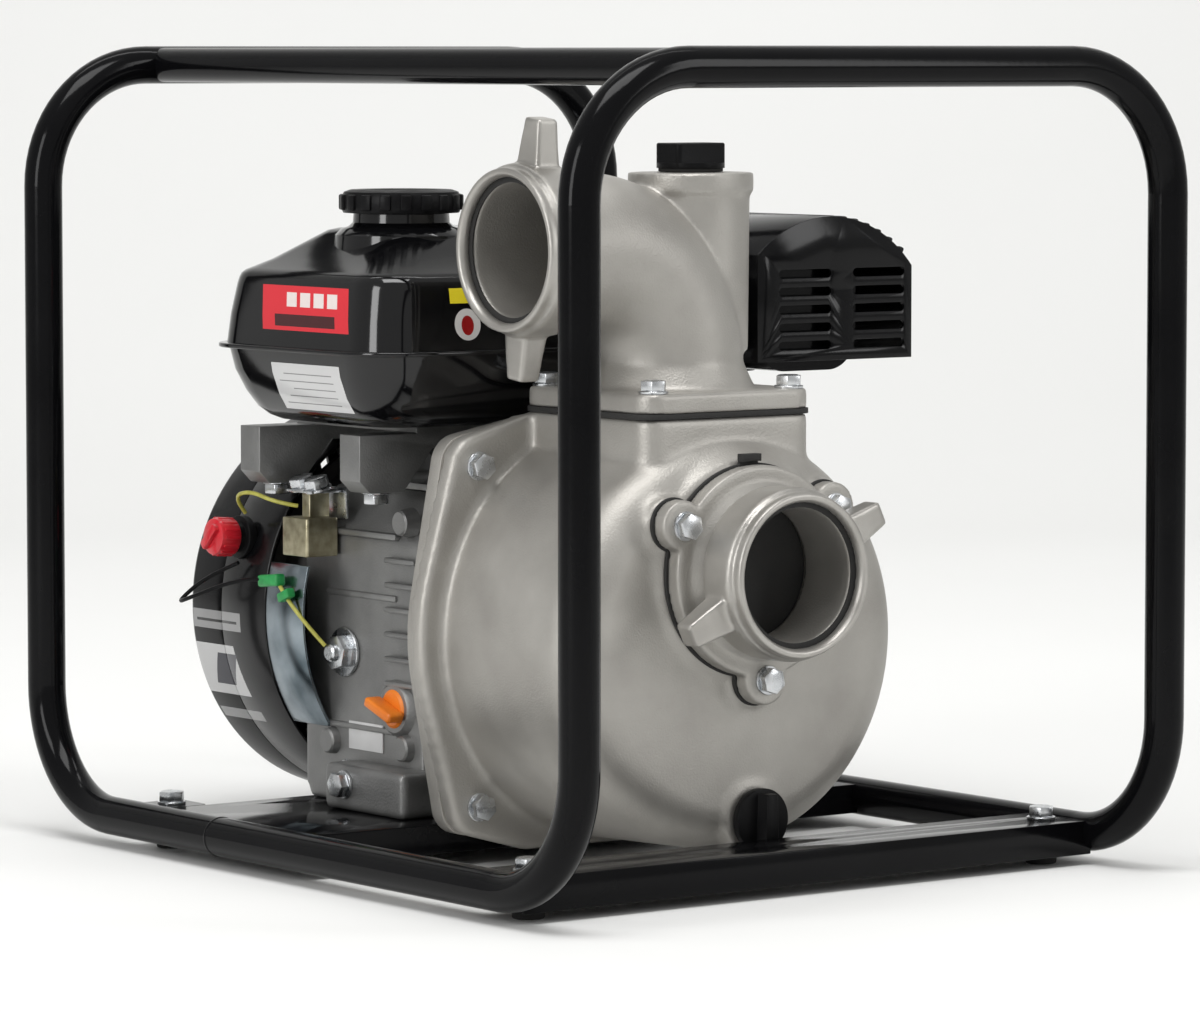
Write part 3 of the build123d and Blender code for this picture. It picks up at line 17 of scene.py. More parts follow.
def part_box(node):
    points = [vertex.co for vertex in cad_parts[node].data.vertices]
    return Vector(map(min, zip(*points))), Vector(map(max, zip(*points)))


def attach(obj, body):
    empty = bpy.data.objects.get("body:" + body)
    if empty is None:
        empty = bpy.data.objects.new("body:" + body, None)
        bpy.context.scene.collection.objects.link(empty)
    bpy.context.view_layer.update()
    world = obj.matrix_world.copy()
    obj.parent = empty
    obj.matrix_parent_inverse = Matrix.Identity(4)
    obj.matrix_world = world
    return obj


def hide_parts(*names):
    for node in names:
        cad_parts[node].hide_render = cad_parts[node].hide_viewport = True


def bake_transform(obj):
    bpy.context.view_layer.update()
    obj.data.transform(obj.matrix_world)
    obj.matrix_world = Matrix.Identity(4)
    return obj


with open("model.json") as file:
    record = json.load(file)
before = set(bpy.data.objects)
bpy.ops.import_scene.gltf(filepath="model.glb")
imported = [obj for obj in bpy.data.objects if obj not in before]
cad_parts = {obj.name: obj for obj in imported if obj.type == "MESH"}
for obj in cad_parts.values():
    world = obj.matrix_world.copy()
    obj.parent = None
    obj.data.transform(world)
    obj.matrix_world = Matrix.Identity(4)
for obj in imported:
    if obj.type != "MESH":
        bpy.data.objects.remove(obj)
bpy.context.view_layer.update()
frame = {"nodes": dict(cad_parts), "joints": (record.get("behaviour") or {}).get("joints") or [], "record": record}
nodes = frame["nodes"]
node_body = {name: body for body, names in frame["record"]["behaviour"]["bodies"].items() for name in names}
node_slot = {part["node"]: part["material_slot"] for part in frame["record"]["subparts"]}
joints = {joint["name"]: joint for joint in frame["joints"]}
print("loaded", len(nodes), "nodes")

# %% [markdown]
# ## Shared effects
# A casting, a sheet of enamel and a moulding all vary a little over their surface. Each kind of variation
# is one node group, built once with named inputs, so that every material can use it with its own values.

# %% Group: uneven surface
def new_group(name, inputs, outputs):
    """An empty shader group with float inputs and outputs."""
    group = bpy.data.node_groups.new(name, "ShaderNodeTree")
    for label, value in inputs:
        socket = group.interface.new_socket(label, in_out="INPUT", socket_type="NodeSocketFloat")
        socket.default_value = value
    for label in outputs:
        group.interface.new_socket(label, in_out="OUTPUT", socket_type="NodeSocketFloat")
    return group, group.nodes.new("NodeGroupInput"), group.nodes.new("NodeGroupOutput")


def add_node(tree, kind, **settings):
    """A node with its properties set."""
    node = tree.nodes.new(kind)
    for key, value in settings.items():
        setattr(node, key, value)
    return node


def noise_at(tree, scale, detail):
    """A noise texture on Object coordinates, with its scale from a socket."""
    noise = add_node(tree, "ShaderNodeTexNoise")
    tree.links.new(add_node(tree, "ShaderNodeTexCoord").outputs["Object"], noise.inputs["Vector"])
    tree.links.new(scale, noise.inputs["Scale"])
    noise.inputs["Detail"].default_value = detail
    return noise.outputs["Fac"]


def math_node(tree, operation, first, second=0.5, third=0.5, clamp=False):
    """One arithmetic step; each operand is a number or a socket."""
    node = add_node(tree, "ShaderNodeMath", operation=operation, use_clamp=clamp)
    for slot_in, value in zip(node.inputs, (first, second, third)):
        if isinstance(value, (int, float)):
            slot_in.default_value = value
        else:
            tree.links.new(value, slot_in)
    return node.outputs[0]


def blend_colour(tree, mask, first, second):
    """Mixes two colours by a mask; each colour is a tuple or a socket."""
    mix = add_node(tree, "ShaderNodeMix", data_type="RGBA", blend_type="MIX")
    tree.links.new(mask, mix.inputs["Factor"])
    for label, value in (("A", first), ("B", second)):
        target = [s for s in mix.inputs if s.name == label and s.type == "RGBA"][0]
        if isinstance(value, tuple):
            target.default_value = (*value, 1.0)
        else:
            tree.links.new(value, target)
    return [s for s in mix.outputs if s.type == "RGBA"][0]


uneven, uneven_in, uneven_out = new_group(
    "Uneven surface", [("Patch scale", 30.0), ("Grain scale", 600.0)], ["Patches", "Height"]
)
patches = noise_at(uneven, uneven_in.outputs["Patch scale"], 4.0)
grain = noise_at(uneven, uneven_in.outputs["Grain scale"], 2.0)
patch_contrast, patch_shift, patch_in_height = 2.4, -0.7, 0.35
patch_mask = math_node(uneven, "MULTIPLY_ADD", patches, patch_contrast, patch_shift, clamp=True)
uneven.links.new(patch_mask, uneven_out.inputs["Patches"])
height = math_node(uneven, "MULTIPLY_ADD", patches, patch_in_height, grain)
uneven.links.new(height, uneven_out.inputs["Height"])
print("group", uneven.name)

# %% [markdown]
# A painted or printed field on a curved panel needs no lettering and no image: it is a box test on the
# panel's own coordinates, with a slant for a field whose ends lean.

# %% Group: printed field
field_group, field_in, field_out = new_group(
    "Printed field",
    [("Y from", 0.0), ("Y to", 0.1), ("Z from", 0.0), ("Z to", 0.1), ("Slant", 0.0), ("X below", 0.0)],
    ["Mask"],
)
place = add_node(field_group, "ShaderNodeSeparateXYZ")
field_group.links.new(add_node(field_group, "ShaderNodeTexCoord").outputs["Object"], place.inputs[0])
lean = math_node(field_group, "SUBTRACT", place.outputs["Z"], field_in.outputs["Z from"])
leaning_y = math_node(field_group, "MULTIPLY_ADD", lean, field_in.outputs["Slant"], place.outputs["Y"])
tests = [
    math_node(field_group, "GREATER_THAN", leaning_y, field_in.outputs["Y from"]),
    math_node(field_group, "LESS_THAN", leaning_y, field_in.outputs["Y to"]),
    math_node(field_group, "GREATER_THAN", place.outputs["Z"], field_in.outputs["Z from"]),
    math_node(field_group, "LESS_THAN", place.outputs["Z"], field_in.outputs["Z to"]),
    math_node(field_group, "LESS_THAN", place.outputs["X"], field_in.outputs["X below"]),
]
inside = tests[0]
for test in tests[1:]:
    inside = math_node(field_group, "MULTIPLY", inside, test)
field_group.links.new(inside, field_out.inputs["Mask"])
print("group", field_group.name)

# %% [markdown]
# The tank's front face carries round and square marks. A second group measures how far a point is from the
# middle of its mark, as a share of the mark's half size: Round at one makes an ellipse, and at zero a
# rectangle.

# %% Group: round or square field on the front
disc_group, disc_in, disc_out = new_group(
    "Front field",
    [
        ("X centre", 0.0), ("Z centre", 0.3), ("Half width", 0.01), ("Half height", 0.01), ("Round", 0.0),
        ("Y below", 0.0),
    ],
    ["Mask"],
)
front_place = add_node(disc_group, "ShaderNodeSeparateXYZ")
disc_group.links.new(add_node(disc_group, "ShaderNodeTexCoord").outputs["Object"], front_place.inputs[0])


def share_of(direction, size):
    """A point's distance from the mark's middle along X or Z, over the mark's half size."""
    offset = math_node(
        disc_group, "SUBTRACT", front_place.outputs[direction], disc_in.outputs[direction + " centre"]
    )
    return math_node(disc_group, "DIVIDE", math_node(disc_group, "ABSOLUTE", offset), disc_in.outputs[size])


share_x, share_z = share_of("X", "Half width"), share_of("Z", "Half height")
square_x, square_z = (math_node(disc_group, "POWER", share, 2.0) for share in (share_x, share_z))
squares = math_node(disc_group, "ADD", square_x, square_z)
farther = math_node(disc_group, "MAXIMUM", share_x, share_z)
roundness = math_node(disc_group, "MULTIPLY", squares, disc_in.outputs["Round"])
reach = math_node(disc_group, "MAXIMUM", farther, roundness)
within = math_node(disc_group, "LESS_THAN", reach, 1.0)
in_front = math_node(disc_group, "LESS_THAN", front_place.outputs["Y"], disc_in.outputs["Y below"])
disc_group.links.new(math_node(disc_group, "MULTIPLY", within, in_front), disc_out.inputs["Mask"])
print("group", disc_group.name)

# %% [markdown]
# ## Finishes
# One function makes every opaque finish: two tones that mix in patches, a roughness that moves with them,
# and a fine grain in the bump. What differs between iron, zinc, enamel and rubber is only the values.

# %% Make the finishes
finishes = {}
coat_roughness = 0.08
relief_depth = 0.0006


def finish(
    name, dark, light, *, rough, patch_scale, grain_scale, bump,
    metal=0.0, coat=0.0, spread=0.12, shine=0.5, fields=(), front=(),
):
    """A two-tone material with uneven gloss.

    A field is (colour, y from, y to, z from, z to, slant, x limit), and a mark on the front is
    (colour, x, z, half width, half height, round, y limit).
    """
    material = bpy.data.materials.new(name)
    material.use_nodes = True
    tree = material.node_tree
    shader = tree.nodes["Principled BSDF"]
    surface = add_node(tree, "ShaderNodeGroup", node_tree=uneven)
    surface.inputs["Patch scale"].default_value = patch_scale
    surface.inputs["Grain scale"].default_value = grain_scale
    colour = blend_colour(tree, surface.outputs["Patches"], dark, light)
    gloss = math_node(tree, "MULTIPLY_ADD", surface.outputs["Patches"], spread, rough - spread / 2)
    for group, marks in ((field_group, fields), (disc_group, front)):
        for tint, *values in marks:
            mark = add_node(tree, "ShaderNodeGroup", node_tree=group)
            for socket, value in zip(mark.inputs, values):
                socket.default_value = value
            colour = blend_colour(tree, mark.outputs["Mask"], colour, tint)
    tree.links.new(colour, shader.inputs["Base Color"])
    tree.links.new(gloss, shader.inputs["Roughness"])
    shader.inputs["Metallic"].default_value = metal
    shader.inputs["Coat Weight"].default_value = coat
    shader.inputs["Coat Roughness"].default_value = coat_roughness
    shader.inputs["Specular IOR Level"].default_value = shine
    relief = add_node(tree, "ShaderNodeBump")
    relief.inputs["Strength"].default_value = bump
    relief.inputs["Distance"].default_value = relief_depth
    tree.links.new(surface.outputs["Height"], relief.inputs["Height"])
    tree.links.new(relief.outputs["Normal"], shader.inputs["Normal"])
    finishes[name] = material
    return material


finish(
    "frame_black", (0.0025, 0.0025, 0.003), (0.004, 0.004, 0.0045),
    rough=0.13, patch_scale=18.0, grain_scale=260.0, bump=0.04, shine=0.12, spread=0.05,
)
finish(
    "black_rubber", (0.012, 0.012, 0.012), (0.022, 0.021, 0.020),
    rough=0.75, patch_scale=60.0, grain_scale=900.0, bump=0.3,
)
finish(
    "zinc_steel", (0.50, 0.52, 0.54), (0.72, 0.73, 0.74),
    metal=1.0, rough=0.28, patch_scale=120.0, grain_scale=900.0, bump=0.08,
)
finish(
    "cast_aluminium", (0.35, 0.335, 0.31), (0.45, 0.435, 0.405),
    metal=0.6, rough=0.46, patch_scale=22.0, grain_scale=850.0, bump=0.35,
)
finish(
    "machined_aluminium", (0.38, 0.365, 0.34), (0.48, 0.465, 0.435),
    metal=0.7, rough=0.38, patch_scale=40.0, grain_scale=1200.0, bump=0.15,
)
finish(
    "cast_iron", (0.06, 0.06, 0.06), (0.12, 0.115, 0.11),
    metal=0.6, rough=0.6, patch_scale=40.0, grain_scale=700.0, bump=0.4,
)
finish(
    "ground_steel", (0.42, 0.42, 0.43), (0.55, 0.55, 0.56),
    metal=1.0, rough=0.3, patch_scale=80.0, grain_scale=900.0, bump=0.08,
)
finish(
    "engine_aluminium", (0.21, 0.21, 0.208), (0.30, 0.30, 0.295),
    metal=0.75, rough=0.46, patch_scale=34.0, grain_scale=800.0, bump=0.3,
)
finish(
    "black_paint", (0.002, 0.002, 0.0025), (0.004, 0.004, 0.0045),
    rough=0.15, patch_scale=12.0, grain_scale=200.0, bump=0.03, shine=0.2, spread=0.06,
)
finish(
    "black_plastic", (0.004, 0.004, 0.0045), (0.007, 0.007, 0.0075),
    rough=0.38, patch_scale=50.0, grain_scale=900.0, bump=0.2, shine=0.12,
)
finish(
    "rope", (0.10, 0.10, 0.10), (0.2, 0.2, 0.2),
    rough=0.85, patch_scale=300.0, grain_scale=1500.0, bump=0.6,
)
finish(
    "red_plastic", (0.50, 0.008, 0.018), (0.66, 0.016, 0.03),
    rough=0.32, patch_scale=60.0, grain_scale=500.0, bump=0.1, coat=0.3,
)
finish(
    "orange_plastic", (0.72, 0.17, 0.01), (0.9, 0.25, 0.02),
    rough=0.4, patch_scale=60.0, grain_scale=700.0, bump=0.15,
)
finish(
    "sensor_brass", (0.28, 0.25, 0.16), (0.5, 0.46, 0.32),
    metal=0.9, rough=0.36, patch_scale=160.0, grain_scale=800.0, bump=0.1,
)
finish(
    "wire_sheath", (0.36, 0.34, 0.05), (0.52, 0.50, 0.10),
    rough=0.4, patch_scale=200.0, grain_scale=900.0, bump=0.1,
)
finish(
    "green_sheath", (0.01, 0.22, 0.05), (0.03, 0.36, 0.09),
    rough=0.4, patch_scale=200.0, grain_scale=900.0, bump=0.1,
)
finish(
    "blue_zinc", (0.10, 0.13, 0.15), (0.40, 0.46, 0.50),
    metal=1.0, rough=0.22, patch_scale=34.0, grain_scale=500.0, bump=0.03, spread=0.10,
)
print("finishes", len(finishes))
for name, node in nodes.items():
    node.data.materials.clear()
    node.data.materials.append(finishes[node_slot[name]])
    node.data.set_sharp_from_angle(angle=math.radians(35.0))

# %% [markdown]
# ## Ways of making a piece
# Most pieces start in one of four ways. A round one is a profile spun about its axis. A squared one is a
# cube with bevelled edges. A pressed or machined one is a merged copy of its CAD mesh with its sharp edges
# bevelled. A sand casting is joined up and remeshed, so that every corner gets the small even radius that
# sand leaves.

# %% Helpers for pieces
def publish(bm, name, body, finish_name, replaced=(), smooth=35.0):
    """Turn a bmesh into a finished piece that rides a body, or stays free if it has none."""
    mesh = bpy.data.meshes.new(name)
    bm.to_mesh(mesh)
    bm.free()
    mesh.shade_smooth()
    mesh.set_sharp_from_angle(angle=math.radians(smooth))
    piece = bpy.data.objects.new(name, mesh)
    bpy.context.scene.collection.objects.link(piece)
    mesh.materials.append(finishes[finish_name])
    if body:
        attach(piece, body)
    known = [material["slot"] for material in frame["record"]["materials"]]
    finish_name if finish_name in known else node_slot[replaced[0]] if replaced else "zinc_steel"
    if replaced:
        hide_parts(*replaced)
    print(name, len(mesh.polygons), "faces on", body)
    return piece


def lathe(profile, steps=64):
    """A profile of (radius, height) points spun about Z."""
    bm = bmesh.new()
    verts = [bm.verts.new((radius, 0.0, height)) for radius, height in profile]
    edges = [bm.edges.new(pair) for pair in zip(verts, verts[1:])]
    bmesh.ops.spin(
        bm, geom=verts + edges, cent=(0, 0, 0), axis=(0, 0, 1), angle=math.tau, steps=steps, use_merge=True
    )
    bmesh.ops.remove_doubles(bm, verts=bm.verts, dist=1e-6)
    bmesh.ops.recalc_face_normals(bm, faces=bm.faces)
    return bm


def block(size, edge, segments=2):
    """A box about the origin with bevelled edges."""
    bm = bmesh.new()
    bmesh.ops.create_cube(bm, size=1.0)
    bmesh.ops.scale(bm, vec=size, verts=bm.verts)
    if edge > 0:
        bmesh.ops.bevel(
            bm, geom=bm.edges[:], offset=edge, affect="EDGES", segments=segments, profile=0.5, material=-1
        )
    return bm


def stand(bm, origin, up=(0, 0, 1), across=(1, 0, 0)):
    """Move a bmesh from its own axes: its Z goes along up, and its X as near across as it can."""
    z = Vector(up).normalized()
    x = (Vector(across) - z * z.dot(Vector(across))).normalized()
    turn = Matrix((x, z.cross(x), z)).transposed().to_4x4()
    bmesh.ops.transform(bm, matrix=Matrix.Translation(Vector(origin)) @ turn, verts=bm.verts)
    return bm


def gather(*parts):
    """Join several bmeshes into the first."""
    whole = parts[0]
    for part in parts[1:]:
        spare = bpy.data.meshes.new("spare")
        part.to_mesh(spare)
        part.free()
        whole.from_mesh(spare)
        bpy.data.meshes.remove(spare)
    return whole


def cad_copy(node):
    """A merged copy of a CAD node's mesh, as a bmesh."""
    bm = bmesh.new()
    bm.from_mesh(nodes[node].data)
    bmesh.ops.remove_doubles(bm, verts=bm.verts, dist=2e-6)
    return bm


sharp_angle = math.radians(32.0)


def softened(node, width, finish_name=None):
    """A CAD node with its sharp edges bevelled."""
    bm = cad_copy(node)
    bmesh.ops.dissolve_limit(
        bm, angle_limit=math.radians(1.0), verts=bm.verts, edges=bm.edges, delimit={"NORMAL"}
    )
    sharp = [e for e in bm.edges if len(e.link_faces) == 2 and e.calc_face_angle(0.0) > sharp_angle]
    bmesh.ops.bevel(
        bm, geom=sharp, offset=width, affect="EDGES", segments=2, profile=0.5, material=-1,
        clamp_overlap=True,
    )
    return publish(bm, node + "_finished", node_body[node], finish_name or node_slot[node], (node,), 40.0)


def sand_cast(bm, name, body, finish_name, voxel, passes, replaced=()):
    """Remesh a joined-up shape and relax it, as a casting's rounded skin."""
    rough = bpy.data.meshes.new(name + "_pattern")
    bm.to_mesh(rough)
    bm.free()
    pattern = bpy.data.objects.new(name + "_pattern", rough)
    bpy.context.scene.collection.objects.link(pattern)
    skin = pattern.modifiers.new("Skin", "REMESH")
    skin.mode = "VOXEL"
    skin.voxel_size = voxel
    relax = pattern.modifiers.new("Relax", "SMOOTH")
    relax.factor = 0.5
    relax.iterations = passes
    baked = bpy.data.meshes.new_from_object(pattern.evaluated_get(bpy.context.evaluated_depsgraph_get()))
    bpy.data.objects.remove(pattern)
    cast = bmesh.new()
    cast.from_mesh(baked)
    bpy.data.meshes.remove(baked)
    return publish(cast, name, body, finish_name, replaced, 60.0)


def around(centre, radius, count):
    """Points on a level circle, with their outward directions."""
    for number in range(count):
        angle = number * math.tau / count
        out = Vector((math.cos(angle), math.sin(angle), 0.0))
        yield Vector(centre) + out * radius, out


# %% [markdown]
# ## Pump castings
# The casing, the elbow and the flanges are sand cast, with a blasted skin. The CAD gives their shape, and
# the remesh gives the soft inner and outer radii at every joint of two forms.

# %% Cast the pump
casing_voxel = 0.0024
elbow_voxel, flange_voxel = 0.0017, 0.0013
sand_cast(
    cad_copy("pump_casing"), "casing_casting", "unit", "cast_aluminium", casing_voxel, 5, ("pump_casing",)
)
sand_cast(
    cad_copy("discharge_elbow"), "elbow_casting", "unit", "cast_aluminium", elbow_voxel, 5,
    ("discharge_elbow",),
)
softened("pump_back_plate", 0.0012, "cast_aluminium")
sand_cast(
    cad_copy("suction_flange"), "suction_flange_casting", "unit", "cast_aluminium", flange_voxel, 4,
    ("suction_flange",),
)
softened("discharge_gasket", 0.0004)
softened("suction_gasket", 0.0003)

# %% [markdown]
# A coupling nut is a turned ring with a stepped rim and two cast lugs, which a hose key or a hammer turns.
# The ring is spun, the lugs are tapered blocks, and one remesh joins them with small fillets.

# %% Coupling nuts
thread_r, nut_r, rim_r, mouth_r = 0.04156, 0.0475, 0.0450, 0.0398
lug_length, lug_width, lug_thick = 0.030, 0.021, 0.0165
lug_middle_r, lug_middle_z = 0.0575, 0.0102
lug_narrowing, lug_thinning = 0.36, 0.22


def cast_lug(degrees):
    """A tapered block that points outwards, turned about the nut's axis."""
    lug = block((lug_length, lug_width, lug_thick), 0.0016)
    for vert in lug.verts:
        along = (vert.co.x + lug_length / 2) / lug_length
        vert.co.y *= 1.0 - lug_narrowing * along
        vert.co.z *= 1.0 - lug_thinning * along
    bmesh.ops.translate(lug, vec=(lug_middle_r, 0.0, lug_middle_z), verts=lug.verts)
    turn = Matrix.Rotation(math.radians(degrees), 3, "Z")
    bmesh.ops.rotate(lug, cent=(0, 0, 0), matrix=turn, verts=lug.verts)
    return lug


def coupling_nut(name, node, joint_name, lug_degrees):
    """A lugged ring with a stepped mouth that stands on its own axis."""
    low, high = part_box(node)
    axis = Vector(joints[joint_name]["axis"])
    centre = Vector(joints[joint_name]["pos_m"])
    ends = sorted(Vector(corner).dot(axis) for corner in (low, high))
    length = ends[1] - ends[0]
    back = centre + axis * (ends[0] - centre.dot(axis))
    ring = lathe(
        [
            (thread_r, 0.0), (nut_r - 0.0005, 0.0), (nut_r, 0.0015), (nut_r, length - 0.009),
            (nut_r - 0.0007, length - 0.007), (rim_r, length - 0.0065), (rim_r, length - 0.001),
            (rim_r - 0.0008, length), (rim_r - 0.0035, length), (mouth_r, length - 0.003),
            (mouth_r, length - 0.006), (thread_r, length - 0.006), (thread_r, 0.0),
        ],
        96,
    )
    ring = gather(ring, *(cast_lug(degrees) for degrees in lug_degrees))
    across = (1, 0, 0) if abs(axis.y) > 0.5 else (0, -1, 0)
    stand(ring, back, axis, across)
    return sand_cast(ring, name, node_body[node], "machined_aluminium", 0.0011, 3, (node,))


coupling_nut("suction_nut_casting", "suction_coupling_nut", "suction_nut_turn", (25.0, 205.0))
coupling_nut("discharge_nut_casting", "discharge_coupling_nut", "discharge_nut_turn", (83.0, 263.0))

# %% [markdown]
# The priming plug is a moulded black plug with a squared head on a thin flange. The drain plug is a winged
# knob.

# %% Plugs
softened("priming_plug", 0.0012)
softened("drain_plug", 0.0012)
softened("priming_plug_seal", 0.0003)

# %% [markdown]
# ## Bolts
# Every bolt is an M8 hexagon head on a plain washer. The head is a six-sided cylinder with bevelled edges,
# and a low turned crown on top gives it the look of a forged head.

# %% Hexagon bolts
washer_r, washer_thick = 0.0080, 0.0015
head_r, head_high = 0.0075, 0.0056
head_top = washer_thick + head_high
shank_reach = 0.006


def hexagon(radius, depth, middle_z, edge):
    """A six-sided cylinder with bevelled edges."""
    bm = bmesh.new()
    bmesh.ops.create_cone(
        bm, cap_ends=True, segments=6, radius1=radius, radius2=radius, depth=depth,
        matrix=Matrix.Translation((0, 0, middle_z)),
    )
    bmesh.ops.bevel(bm, geom=bm.edges[:], offset=edge, affect="EDGES", segments=2, profile=0.5, material=-1)
    return bm


def hex_bolt(seat, out):
    """A washer and a chamfered hexagon head on a seat."""
    washer = lathe(
        [
            (0.0, 0.0), (washer_r, 0.0), (washer_r + 0.0001, 0.0003), (washer_r + 0.0001, 0.0012),
            (washer_r - 0.0002, washer_thick), (0.0, washer_thick),
        ],
        32,
    )
    head = hexagon(head_r, head_high, washer_thick + head_high / 2, 0.0005)
    crown = lathe(
        [
            (0.0, head_top - 0.0005), (0.0058, head_top - 0.0005), (0.0062, head_top),
            (0.0050, head_top + 0.0004), (0.0, head_top + 0.0002),
        ],
        24,
    )
    return stand(gather(washer, head, crown), seat, out, (1, 0.3, 0.2))


def odd_one_out(size):
    """The axis along which a bolt's box is least like its other two sides."""
    return max(range(3), key=lambda k: min(abs(size[k] - size[j]) for j in range(3) if j != k))


def islands(bm):
    """The vertex places of each separate solid in a bmesh."""
    waiting = set(bm.verts)
    for first in bm.verts:
        if first not in waiting:
            continue
        waiting.remove(first)
        reached = [first]
        for vert in reached:
            for edge in vert.link_edges:
                other = edge.other_vert(vert)
                if other in waiting:
                    waiting.remove(other)
                    reached.append(other)
        yield [vert.co.copy() for vert in reached]


cad_bolts = cad_copy("bolts")
bolt_set = bmesh.new()
for points in islands(cad_bolts):
    low = Vector([min(p[i] for p in points) for i in range(3)])
    high = Vector([max(p[i] for p in points) for i in range(3)])
    middle = (low + high) / 2
    axis = odd_one_out(high - low)
    wide = [p for p in points if max(abs((p - middle)[i]) for i in range(3) if i != axis) > shank_reach]
    head_side = 1.0 if sum((p - middle)[axis] for p in wide) > 0 else -1.0
    out = Vector([head_side if i == axis else 0.0 for i in range(3)])
    seat = middle.copy()
    seat[axis] = (high[axis] if head_side > 0 else low[axis]) - head_side * head_top
    bolt_set = gather(bolt_set, hex_bolt(seat, out))
cad_bolts.free()
publish(bolt_set, "hexagon_bolts", "unit", "zinc_steel", ("bolts",), 30.0)

# %% [markdown]
# ## Fuel tank
# The tank is two deep pressings welded at a flange. Each half is a stack of rounded rectangles, bridged one
# to the next, so that its walls lean in, turn over a soft shoulder and close in a low dome.

# %% Press the tank
tank_low, tank_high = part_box("fuel_tank")
seam_z = 0.288
lip_thick = 0.0026
neck_z = 0.3555
tank_middle = Vector(((tank_low.x + tank_high.x) / 2, (tank_low.y + tank_high.y) / 2, 0.0))
tank_width, tank_length = tank_high.x - tank_low.x, tank_high.y - tank_low.y


def rounded_plate(width, length, corner, z):
    """One rounded rectangle face, facing up."""
    bm = bmesh.new()
    bmesh.ops.create_grid(bm, x_segments=1, y_segments=1, size=0.5)
    bmesh.ops.scale(bm, vec=(width, length, 1.0), verts=bm.verts)
    bmesh.ops.bevel(
        bm, geom=bm.verts[:], offset=corner, affect="VERTICES", segments=10, profile=0.5, material=-1
    )
    bmesh.ops.translate(bm, vec=tank_middle + Vector((0, 0, z)), verts=bm.verts)
    bmesh.ops.recalc_face_normals(bm, faces=bm.faces)
    if bm.faces[:][0].normal.z < 0:
        bmesh.ops.reverse_faces(bm, faces=bm.faces)
    return bm


def pressed_half(levels):
    """Bridge rounded rectangles at (height, inset, corner) levels and close the last one."""
    bm = bmesh.new()
    loops = []
    for height, inset, corner in levels:
        level = rounded_plate(tank_width - 2 * inset, tank_length - 2 * inset, corner, height)
        if height != levels[-1][0]:
            bmesh.ops.delete(level, geom=level.faces[:], context="FACES_ONLY")
        first = len(bm.edges)
        bm = gather(bm, level)
        bm.edges.ensure_lookup_table()
        loops.append([bm.edges[index] for index in range(first, len(bm.edges))])
    for lower, upper in zip(loops, loops[1:]):
        bmesh.ops.bridge_loops(bm, edges=lower + upper)
    bmesh.ops.recalc_face_normals(bm, faces=bm.faces)
    return bm


upper_half = pressed_half(
    [
        (0.2885, 0.0060, 0.030), (0.2905, 0.0064, 0.030), (0.3060, 0.0082, 0.029), (0.3230, 0.0112, 0.028),
        (0.3265, 0.0120, 0.028), (0.3290, 0.0132, 0.027), (0.3308, 0.0152, 0.026), (0.3322, 0.0180, 0.025),
        (0.3370, 0.0275, 0.022), (0.3440, 0.0380, 0.019), (0.3510, 0.0485, 0.016), (0.3535, 0.0525, 0.014),
        (0.3548, 0.0580, 0.010), (0.3552, 0.0650, 0.006),
    ]
)
lower_half = pressed_half(
    [
        (0.2875, 0.0060, 0.034), (0.2855, 0.0064, 0.034), (0.2740, 0.0085, 0.034), (0.2620, 0.0130, 0.034),
        (0.2530, 0.0185, 0.032), (0.2485, 0.0235, 0.030), (0.2460, 0.0290, 0.028), (0.2450, 0.0360, 0.024),
    ]
)
lip = rounded_plate(tank_width, tank_length, 0.040, seam_z - lip_thick / 2)
lip.faces.ensure_lookup_table()
lip_top = bmesh.ops.extrude_face_region(lip, geom=[lip.faces[0]])["geom"]
lip_top = [element for element in lip_top if isinstance(element, bmesh.types.BMVert)]
bmesh.ops.translate(lip, vec=(0, 0, lip_thick), verts=lip_top)
bmesh.ops.recalc_face_normals(lip, faces=lip.faces)
lip_rims = [e for e in lip.edges if len(e.link_faces) == 2 and e.calc_face_angle(0.0) > math.radians(69.0)]
bmesh.ops.bevel(lip, geom=lip_rims, offset=0.0009, affect="EDGES", segments=3, profile=0.5, material=-1)
cap_low, cap_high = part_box("fuel_cap")
cap_axis = Vector(((cap_low.x + cap_high.x) / 2, (cap_low.y + cap_high.y) / 2, 0.0))
neck = stand(
    lathe(
        [
            (0.0385, -0.014), (0.0375, -0.004), (0.0340, -0.0005), (0.0300, 0.0008), (0.0275, 0.0030),
            (0.0270, 0.0100), (0.0240, 0.0100), (0.0240, -0.014), (0.0385, -0.014),
        ],
        72,
    ),
    (cap_axis.x, cap_axis.y, neck_z),
)
tank = gather(upper_half, lower_half, lip, neck)

# %% [markdown]
# The tank is black enamel. A red panel with a dark strip and four pale bars fills its upper left side, a
# white one with thin grey lines its lower left side, and a yellow mark stands over a white disc with a red
# middle on its front.

# %% Colour the tank
red, dark_red, pale_red = (0.60, 0.020, 0.032), (0.05, 0.005, 0.007), (0.70, 0.62, 0.60)
paper, ink, yellow = (0.60, 0.60, 0.60), (0.22, 0.22, 0.22), (0.80, 0.66, 0.03)
disc_white, disc_red = (0.62, 0.60, 0.58), (0.30, 0.01, 0.01)
panel_slant, panel_x, paper_x, front_y = -0.22, -0.12, -0.11, 0.02
bar_pitch, bar_width, line_pitch, line_width = 0.0135, 0.010, 0.0042, 0.0006
panels = [
    (red, 0.026, 0.112, 0.2985, 0.3235, panel_slant, panel_x),
    (dark_red, 0.040, 0.100, 0.3008, 0.3075, panel_slant, panel_x),
]
for number in range(4):
    bar_y = 0.040 + bar_pitch * number
    panels.append((pale_red, bar_y, bar_y + bar_width, 0.3118, 0.3198, panel_slant, panel_x))
panels.append((paper, 0.036, 0.104, 0.2535, 0.2800, 0.0, paper_x))
